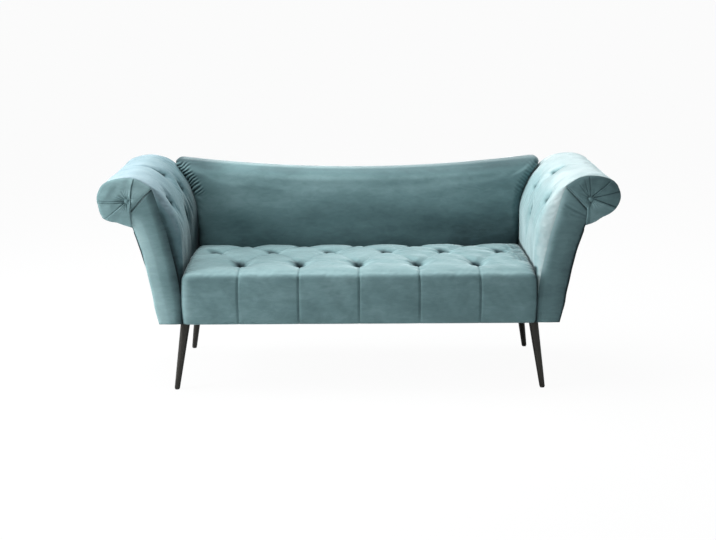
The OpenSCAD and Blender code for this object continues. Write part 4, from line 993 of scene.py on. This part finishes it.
def scroll_facing(side, name, pleats, seed):
    """One scroll. Each pleat has its start, its end, the height of its lap and its soft reach."""
    share, turn = np.broadcast_arrays(ring_share[:, None], spoke_turn)
    x, z = heart[0] + share * reach * np.cos(turn), heart[1] + share * reach * np.sin(turn)
    x, z = roll_end(x, pad_front_y, z, side)
    swell = np.sin(pi / 2 * np.minimum(share / 0.45, 1)) ** 0.8 - (np.maximum(share - 0.45, 0) / 0.55) ** 2.6
    near_rim = 0.5 + 0.5 * arc_in((1 - share) * reach / 0.007)
    rise = facing_t * near_rim + scroll_swell * swell * (2 * near_rim - 1)
    # Painted light and shade on the scroll: painted shade round the button, at the rim and in each pleat's
    # groove. The right scroll is painted darker with its lower outer sector paler, and the left one paler,
    # as light falls from the left.
    pressed = 0.4 * bell(share - 0.08, 0.1) + 0.4 * bell((1 - share) * reach, 0.002)
    for start, end, lap, soft in pleats:
        (ax, az), (bx, bz) = heart + start, heart + end
        length = np.hypot(bx - ax, bz - az)
        along = ((x - ax) * (bx - ax) + (z - az) * (bz - az)) / length ** 2
        beside = ((x - ax) * (bz - az) - (z - az) * (bx - ax)) / length
        fade = ease(along / 0.06 + 0.5) * ease((1 - along) / 0.12 + 0.35) * near_rim
        lapped = np.where(beside > 0, np.exp(-np.abs(beside) / soft), 0)
        groove = bell(beside, np.where(beside > 0, 0.0007, 0.0022))
        rise = rise + fade * lap * (lapped - 0.75 * groove)
        pressed = pressed + 0.75 * fade * groove * min(1, lap / 0.0015)
    if side > 0:
        pressed = pressed + 0.2 - 0.5 * ease((sin(radians(-20)) - np.sin(turn)) / 0.08) * (np.cos(turn) > 0)
    else:
        pressed = pressed - 0.3 - 0.3 * ease((0.5 * np.sin(turn) - np.cos(turn)) / 2)
    gathers = np.sin(turn * 23 + 2.2 * np.sin(turn * 5 + seed) + seed) * bell(share - 0.2, 0.22)
    rise = rise + 0.0007 * gathers * near_rim + 0.0005 * near_rim * ripples(x, z, 0.045, seed + 3)
    rings = grid_of(x, pad_front_y - np.maximum(rise, least_t), z)
    rings = np.concatenate([rings, grid_of(x[-1:], pad_front_y, z[-1:])])
    points, faces = capped(rings, (heart[0], arm_front - 0.0005, heart[1]))
    piece = mesh_piece(f"scroll_facing_velvet_{name}", points * [side, 1, 1], faces, velvet_finish, "velvet",
                       f"scroll_facing_{name}", fill=0.75)
    paint_light_and_shade(piece, pressed)


scroll_facing(1, "right", [((0.0, 0.008), (-0.004, 0.078), 0.0022, 0.012),
                           ((0.004, 0.007), (0.0686, 0.060), 0.0024, 0.013),
                           ((0.008, 0.003), (0.110, 0.026), 0.0024, 0.013),
                           ((0.008, 0.001), (0.098, -0.034), 0.0030, 0.016),
                           ((-0.006, 0.005), (-0.040, 0.052), 0.0012, 0.010),
                           ((-0.005, 0.007), (-0.022, 0.068), 0.0012, 0.010),
                           ((-0.010, -0.026), (-0.080, 0.044), 0.0014, 0.010)], 41)
scroll_facing(-1, "left", [((0.006, 0.000), (0.118, -0.001), 0.0022, 0.010),
                           ((0.010, -0.006), (0.112, -0.007), 0.0020, 0.006),
                           ((0.006, -0.005), (0.086, -0.070), 0.0030, 0.016),
                           ((-0.0124, 0.0), (-0.0155, 0.040), 0.0026, 0.020),
                           ((-0.0155, 0.040), (-0.0265, 0.082), 0.0026, 0.020),
                           ((-0.0265, -0.092), (-0.0132, -0.035), 0.0026, 0.020),
                           ((-0.0132, -0.035), (-0.0124, 0.0), 0.0026, 0.020)], 43)


# Scroll buttons. A domed button covered in the same velvet is sewn through each scroll's middle.

button_low, button_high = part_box("scroll_button_right")
button_r = (button_high.x - button_low.x) / 2 + 0.0016
dome_turn, dome_rise = 1.25, 0.008
dome_angles = np.linspace(0, dome_turn, 16)[1:]
dome_r = np.r_[button_r * np.sin(dome_angles) / sin(dome_turn), button_r * 0.92]
dome_y = arm_front - 0.001 - dome_rise * (np.cos(dome_angles) - cos(dome_turn)) / (1 - cos(dome_turn))
dome_y = np.r_[dome_y, arm_front + 0.0005]
turns = np.arange(48) * 2 * pi / 48
for side, name in sides:
    rings = grid_of(side * heart[0] + dome_r[:, None] * np.cos(turns), dome_y[:, None],
                    heart[1] + dome_r[:, None] * np.sin(turns))
    dome = capped(rings, (side * heart[0], arm_front - 0.001 - dome_rise, heart[1]))
    mesh_piece(f"scroll_button_velvet_{name}", *dome, velvet_finish, "velvet",
               f"scroll_button_{name}", fill=1.0)


# Arm outside covers. Velvet stretched down the outside of each arm from the neck to the bottom rail, tacked
# at the top under the roll and turned round the front board. Painted shade draws a thin dark line along that
# fold.

cover_t = 0.003
cover_run = run_along(outside_path)
cover_out = -left_of(outside_path)
cover_out *= np.sign(cover_out[:, 0].sum())
y, run = np.broadcast_arrays(np.linspace(pad_front_y, pad_rear_y, 97)[:, None], cover_run)
share = run / cover_run[-1]
for side, name in sides:
    hem = arc_in(np.minimum(y - pad_front_y, pad_rear_y - y) / 0.004 + 0.08)
    belly = 0.0018 * np.sin(pi * share) * np.sin(pi * (y - pad_front_y) / (pad_rear_y - pad_front_y))
    pulls = 0.0007 * ripples(y * 0.4, run, 0.10, 51 + side) * np.sin(pi * share) ** 0.5
    fold_span = ease((share - (0.05 if side > 0 else 0.5)) / 0.2) * ease((0.985 - share) / 0.05)
    front_fold = 0.0046 * bell(y - pad_front_y - 0.003, 0.006) * fold_span
    lift = belly + pulls + front_fold - (1 - hem) * cover_t * 0.6
    skins = [grid_of(side * (outside_path[:, 0] + cover_out[:, 0] * depth), y,
                     outside_path[:, 1] + cover_out[:, 1] * depth) for depth in (lift, -cover_t)]
    cover = mesh_piece(f"arm_outside_cover_velvet_{name}", *closed_pad(*skins), velvet_finish, "velvet",
                       f"arm_outside_cover_{name}")
    # Painted shade: a dark line along the front fold.
    paint_light_and_shade(cover, 2.2 * bell(y - pad_front_y, 0.009) * (0.2 + 0.8 * fold_span))


# Arm rear facings and back outside panel. Flat velvet panels close the rear of the arms and of the back.
# They are stretched over the frame, tacked under the bottom rails and blind-stitched along the other edges.

rear_y = cad_box[1][1]
rear_path = full_path - pad_out * (rear_weight * rear_sink)[:, None]
rear_outline = np.concatenate([[[seat_half + 0.0002, seat_base]], rear_path, outside_path[::-1]])


def rear_panel(name, node, outline, spacing, seed, side=1):
    """A stretched panel on the rear, crowned a little and turned in at its edge."""
    def shape(places):
        gap = line_distance(places, looped(outline))
        lift = (rear_y - pad_rear_y) * arc_in(gap / 0.005 + 0.01) + 0.0015 * ease(gap / 0.08)
        lift += 0.0006 * ease(gap / 0.02) * ripples(places[:, 0] * 0.5, places[:, 1], 0.13, seed)
        return pad_rear_y + np.maximum(lift, least_t), pad_rear_y
    piece, places = panel(name, node, outline, spacing, shape, side)
    # Painted shade along the turned-in edge.
    paint_light_and_shade(piece, 0.4 * bell(line_distance(places, looped(outline)), 0.003))


for side, name in sides:
    rear_panel(f"arm_rear_facing_velvet_{name}", f"arm_rear_facing_{name}", rear_outline, 0.008, 61 + side,
               side)


# Back cover. One piece of velvet over foam and wadding, smooth on its face, rounded along the curved top and
# drawn round both sides. The spare velvet is ruched in short folds where the back meets the arms' slope.

back_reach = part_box("back_cover")[1].x
back_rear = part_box("back_cover")[1].y
back_gap = 0.004
back_edge_r = 0.034
back_corner_r = 0.017
back_lean = 0.035
back_crown = 0.006
back_rise = 0.045
back_middle = seat_base + 0.464
back_peak = back_middle + back_rise


def back_top(x):
    """Height of the back's curved top edge."""
    return back_middle + back_rise * (x / back_reach) ** 2


def back_front(share):
    """Depth of the back's face at a share of its height."""
    return seat_rear + back_gap + back_lean * share ** 1.5 - back_crown * np.sin(pi * share)


def back_side(z, spread=0.0):
    """Half of the back's width at a height, beside the arms' pads. With some spread it presses into them."""
    rising = full_path[:10 * path_steps + 1]
    return np.minimum(back_reach, np.interp(z, rising[:, 1], rising[:, 0]) - back_gap) + spread


def back_row(share, y, drop=0.0, narrow=0.0):
    """One row of points from the back's rear left edge, across its face, to its rear right edge."""
    t = np.linspace(-1, 1, 289)
    u = 0.5 * t + 0.5 * np.sin(pi * t / 2)
    low = share * back_gap
    level = foam_low.z + (back_peak - drop - back_corner_r - foam_low.z) * share - low
    wide = back_side(level, 0.009 + np.where(u < 0, 0.009, 0) * ease((level - 0.42) / 0.2)) - narrow
    corner = back_corner_r * (1 - arc_in((1 - np.abs(u)) * wide / back_corner_r))
    fall = back_corner_r * (1 - arc_in((1 - np.abs(u)) * back_reach / back_corner_r))
    z = foam_low.z + (back_top(u * back_reach) - drop - fall - foam_low.z) * share
    face = grid_of(u * wide, np.minimum(back_rear, y + corner), z)
    steps = np.linspace(0, 1, 13)[:-1]
    left, right = (grid_of(edge_x, back_rear + (edge_y - back_rear) * steps, edge_z - low * (1 - steps))
                   for edge_x, edge_y, edge_z in face[[0, -1]])
    return np.concatenate([left, face, right[::-1]])


top_front = back_front(1) + back_edge_r
round_share = 1 - back_edge_r / (back_peak - foam_low.z)
row_share = np.linspace(0, 1, 117)
row_share = (row_share + 0.5 * np.sin(pi * row_share) / pi) * round_share
rows = [back_row(share, back_front(share)) for share in row_share]
rows += [back_row(1, top_front - back_edge_r * cos(a), drop=back_edge_r * (1 - sin(a)))
         for a in np.linspace(0, pi / 2, 15)[1:-1]]
rows += [back_row(1, y, narrow=back_gap * (y - top_front) / (back_rear - top_front))
         for y in np.linspace(top_front, back_rear, 9)]
back_skin = np.array(rows)
for _ in range(40):
    back_skin[1:-1] = (back_skin[:-2] + 2 * back_skin[1:-1] + back_skin[2:]) / 4
for _ in range(36):
    back_skin[:, 1:-1] = (back_skin[:, :-2] + 2 * back_skin[:, 1:-1] + back_skin[:, 2:]) / 4
back_normals = surface_normals(back_skin, np.array([0.0, -1.0, 0.3]))
x, z = back_skin[..., 0], back_skin[..., 2]
on_face = np.clip(-back_normals[..., 1], 0, 1)
side_gap = np.maximum(back_side(z) - np.abs(x), 0)
height_share = (z - foam_low.z) / (back_top(x) - foam_low.z)
slant = x / back_reach
lift = on_face * 0.003 * (1 - slant ** 2) * np.sin(pi * np.clip(height_share, 0, 1)) ** 0.7
lift = lift + on_face * 0.0011 * ripples(x * 0.55, z, 0.16, 71) * ease(side_gap / 0.05)
# Painted light and shade on the back: painted shade beside the arms, darker towards the bottom and towards
# the right, paler towards the top, a darker band along the top edge in place of its highlight, and more
# painted shade high on the left.
pressed = 0.35 * bell(side_gap, 0.012) * ease(height_share / 0.2)
pressed = pressed + 0.79 + 0.26 * slant - 1.2 * ease((height_share - 0.08) / 0.95) * (1.0 - 0.12 * slant)
pressed = pressed + 0.65 * ease((height_share - 0.9) / 0.08)
pressed = pressed + 0.16 * ease((-slant - 0.1) / 0.4) * ease((height_share - 0.55) / 0.3)
pressed = pressed + 0.9 * ease((-slant - 0.66) / 0.25) * ease((height_share - 0.6) / 0.3)
ruche_turn = radians(38)
ruche_pitch = 0.0125
for side, amount in ((-1, 1.0), (1, 0.3)):
    along = z * sin(ruche_turn) - side * x * cos(ruche_turn)
    across = z * cos(ruche_turn) + side * x * sin(ruche_turn)
    lane = ease((z - 0.612) / 0.02) * ease((0.745 - z) / 0.015)
    ruched = lane * ease((0.056 - side_gap) / 0.035) * (np.sign(x) == side)
    wave = np.sin(across * 2 * pi / ruche_pitch + 0.9 * ripples(along, across, 0.06, 73))
    lift = lift + amount * on_face ** 0.3 * ruched * 0.0026 * wave
    # Painted highlights and painted shade on alternate sides of the ruched folds.
    pressed = pressed - amount * 1.1 * ruched * wave
    long_fold = stroke(x, z, (side * 0.655, 0.64), (side * 0.60, 0.535), 0.012, 1)
    short_fold = stroke(x, z, (side * 0.640, 0.60), (side * 0.618, 0.47), 0.010, 0.7)
    lift = lift - amount * on_face * (0.0035 * long_fold + 0.003 * short_fold)
lift[[0, -1]] = 0
held = bell(side_gap, 0.006)
held[:3] = held[-12:] = held[:, :14] = held[:, -14:] = 1
back_skin = settled(back_skin + back_normals * lift[..., None], held, 1.5, 0.006, 0.003)
back_skin[..., 1] = np.minimum(back_skin[..., 1], back_rear)
inner_top = back_foam_high.z + 0.001
inner_y, inner_z = spaced([[back_foam_low.y - 0.001, foam_low.z], [back_foam_low.y + 0.034, inner_top],
                           [back_rear, inner_top]], (back_skin.shape[0] - 1) // 3 + 1).T
inner_x = np.linspace(-1, 1, (back_skin.shape[1] - 1) // 3 + 1) * (back_foam_high.x + 0.001)
back_inside = grid_of(inner_x, inner_y[:, None], inner_z[:, None])
back_inside[:, [0, -1], 1] = back_rear
back_cover = mesh_piece("back_cover_velvet", *closed_pad(back_skin, back_inside, 3), velvet_finish, "velvet",
                        "back_cover", fill=0.85)
paint_light_and_shade(back_cover, pressed)

side_z = np.linspace(foam_low.z, back_peak - back_corner_r - back_gap, 40)
side_line = np.stack([back_side(side_z) - back_gap, side_z], axis=1)
top_x = np.linspace(1, -1, 90) * (back_reach - back_corner_r)
top_line = np.stack([top_x, back_top(top_x) - back_gap], axis=1)
low_x = seat_half - 0.0008
right_line = np.concatenate([[[low_x, seat_base], [low_x, foam_low.z - 0.004]], side_line])
rear_panel("back_outside_panel_velvet", "back_outside_panel",
           np.concatenate([right_line, top_line, right_line[::-1] * [-1, 1]]), 0.010, 81)


# Dust cover. Black non-woven cloth, stapled under the rails with its edge turned in. It puckers a little
# between the staples and hangs a little slack between the leg plates.

dust_finish, at = new_finish("black_non_woven")
dots = at.node("TexVoronoi", {}, {"Vector": at, "Scale": 420.0})
fibres = noise(at, 700.0, 5.0, Distortion=1.5)
plain_finish(blend(fibres * 0.8 + dots * 0.3, (22, 22, 23), (62, 62, 64)), fibres * 0.15 + 0.8,
             relief(dots + fibres * 0.5, 0.5, 0.0003))

dust_low, dust_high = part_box("dust_cover")
dust_x = np.linspace(dust_low.x, dust_high.x, 241)[:, None]
dust_y = np.linspace(rail_front, dust_high.y, 121)
dust_edge = np.minimum(dust_high.x - np.abs(dust_x), np.minimum(dust_high.y - dust_y, dust_y - rail_front))
staple_pitch = 0.045
staples = np.cos(dust_x * 2 * pi / staple_pitch) * np.cos(dust_y * 2 * pi / staple_pitch)
slack = 0.0022 * ease(dust_edge / 0.12) * (0.6 + 0.4 * ripples(dust_x, dust_y, 0.3, 91))
slack = slack + 0.0007 * bell(dust_edge - 0.012, 0.012) * staples
slack = slack + 0.0004 * ripples(dust_x, dust_y, 0.05, 92)
plate_x, plate_y = 0.60, 0.25
plate_gap = np.hypot(np.abs(dust_x) - plate_x, np.abs(dust_y) - plate_y)
slack = slack * ease((plate_gap - 0.04) / 0.06)
dust_skins = [grid_of(dust_x, dust_y, z) for z in (dust_low.z - slack, dust_high.z)]
dust_cover = mesh_piece("dust_cover_cloth", *closed_pad(*dust_skins), dust_finish, "dust_cloth",
                        "dust_cover")


# The room. A plain pale floor, a white surround and soft lamps above and to the left.

camera = bpy.data.objects.new("camera", bpy.data.cameras.new("camera"))
camera.data.sensor_width = 36.0
camera.data.lens = 75.82
tilt, turn, lean = 0.20118, 0.00063, -0.00532
camera.matrix_world = (Matrix.Translation((-0.00723, -5.4554, 1.48184)) @ Matrix.Rotation(-turn, 4, "Z")
                       @ Matrix.Rotation(pi / 2 - tilt, 4, "X") @ Matrix.Rotation(lean, 4, "Z"))
bpy.context.scene.collection.objects.link(camera)
bpy.context.scene.camera = camera

floor_finish, at = new_finish("pale_floor")
plain = at.node("BsdfPrincipled", {}, {"Base Color": (0.86, 0.86, 0.86, 1), "Roughness": 0.9})
white = at.node("Emission", {}, {"Color": (1, 1, 1, 1), "Strength": 1.0})
close_finish(at.node("MixShader", {}, {0: at.node("LightPath", {}, {}) * 0.955, 1: plain, 2: white}))
bpy.ops.mesh.primitive_plane_add(size=400, location=(0, 0, 0))
floor = bpy.context.object
floor.name = "floor"
floor.data.materials.append(floor_finish)

world = bpy.data.worlds.new("surround")
bpy.context.scene.world = world
world.use_nodes = True
world.node_tree.nodes.clear()
tap = Tap(world.node_tree)
seen, sharp, through = (tap.node("LightPath", {}, {}, output) for output in (0, 3, 6))
seen = seen.math("MAXIMUM", sharp).math("MAXIMUM", through)
dim = tap.node("Background", {}, {"Color": (0.9, 0.95, 1.0, 1), "Strength": 0.2})
bright = tap.node("Background", {}, {"Color": (1, 1, 1, 1), "Strength": 1.0})
tap.node("OutputWorld", {}, {"Surface": tap.node("MixShader", {}, {0: seen, 1: dim, 2: bright})})


def lamp(name, place, aim, size, power, tint):
    """A soft rectangular lamp at a place, turned to what it lights."""
    data = bpy.data.lights.new(name, "AREA")
    data.shape = "RECTANGLE"
    data.size, data.size_y = size
    data.energy = power
    data.color = tint
    made = bpy.data.objects.new(name, data)
    made.location = place
    made.rotation_euler = (Vector(aim) - Vector(place)).to_track_quat("-Z", "Y").to_euler()
    bpy.context.scene.collection.objects.link(made)


lamp("lamp_top", (-0.5, 0.5, 2.8), (0, 0, 0.4), (3.2, 1.8), 120.0, (0.97, 1.0, 1.0))
lamp("lamp_left", (-3.0, -0.9, 1.7), (0.6, 0, 0.5), (1.6, 1.6), 125.0, (1.0, 1.0, 1.0))
lamp("lamp_right", (2.8, -2.6, 1.4), (0, 0, 0.5), (2.0, 2.0), 8.0, (0.95, 0.98, 1.0))

bpy.context.scene.view_settings.view_transform = "Standard"
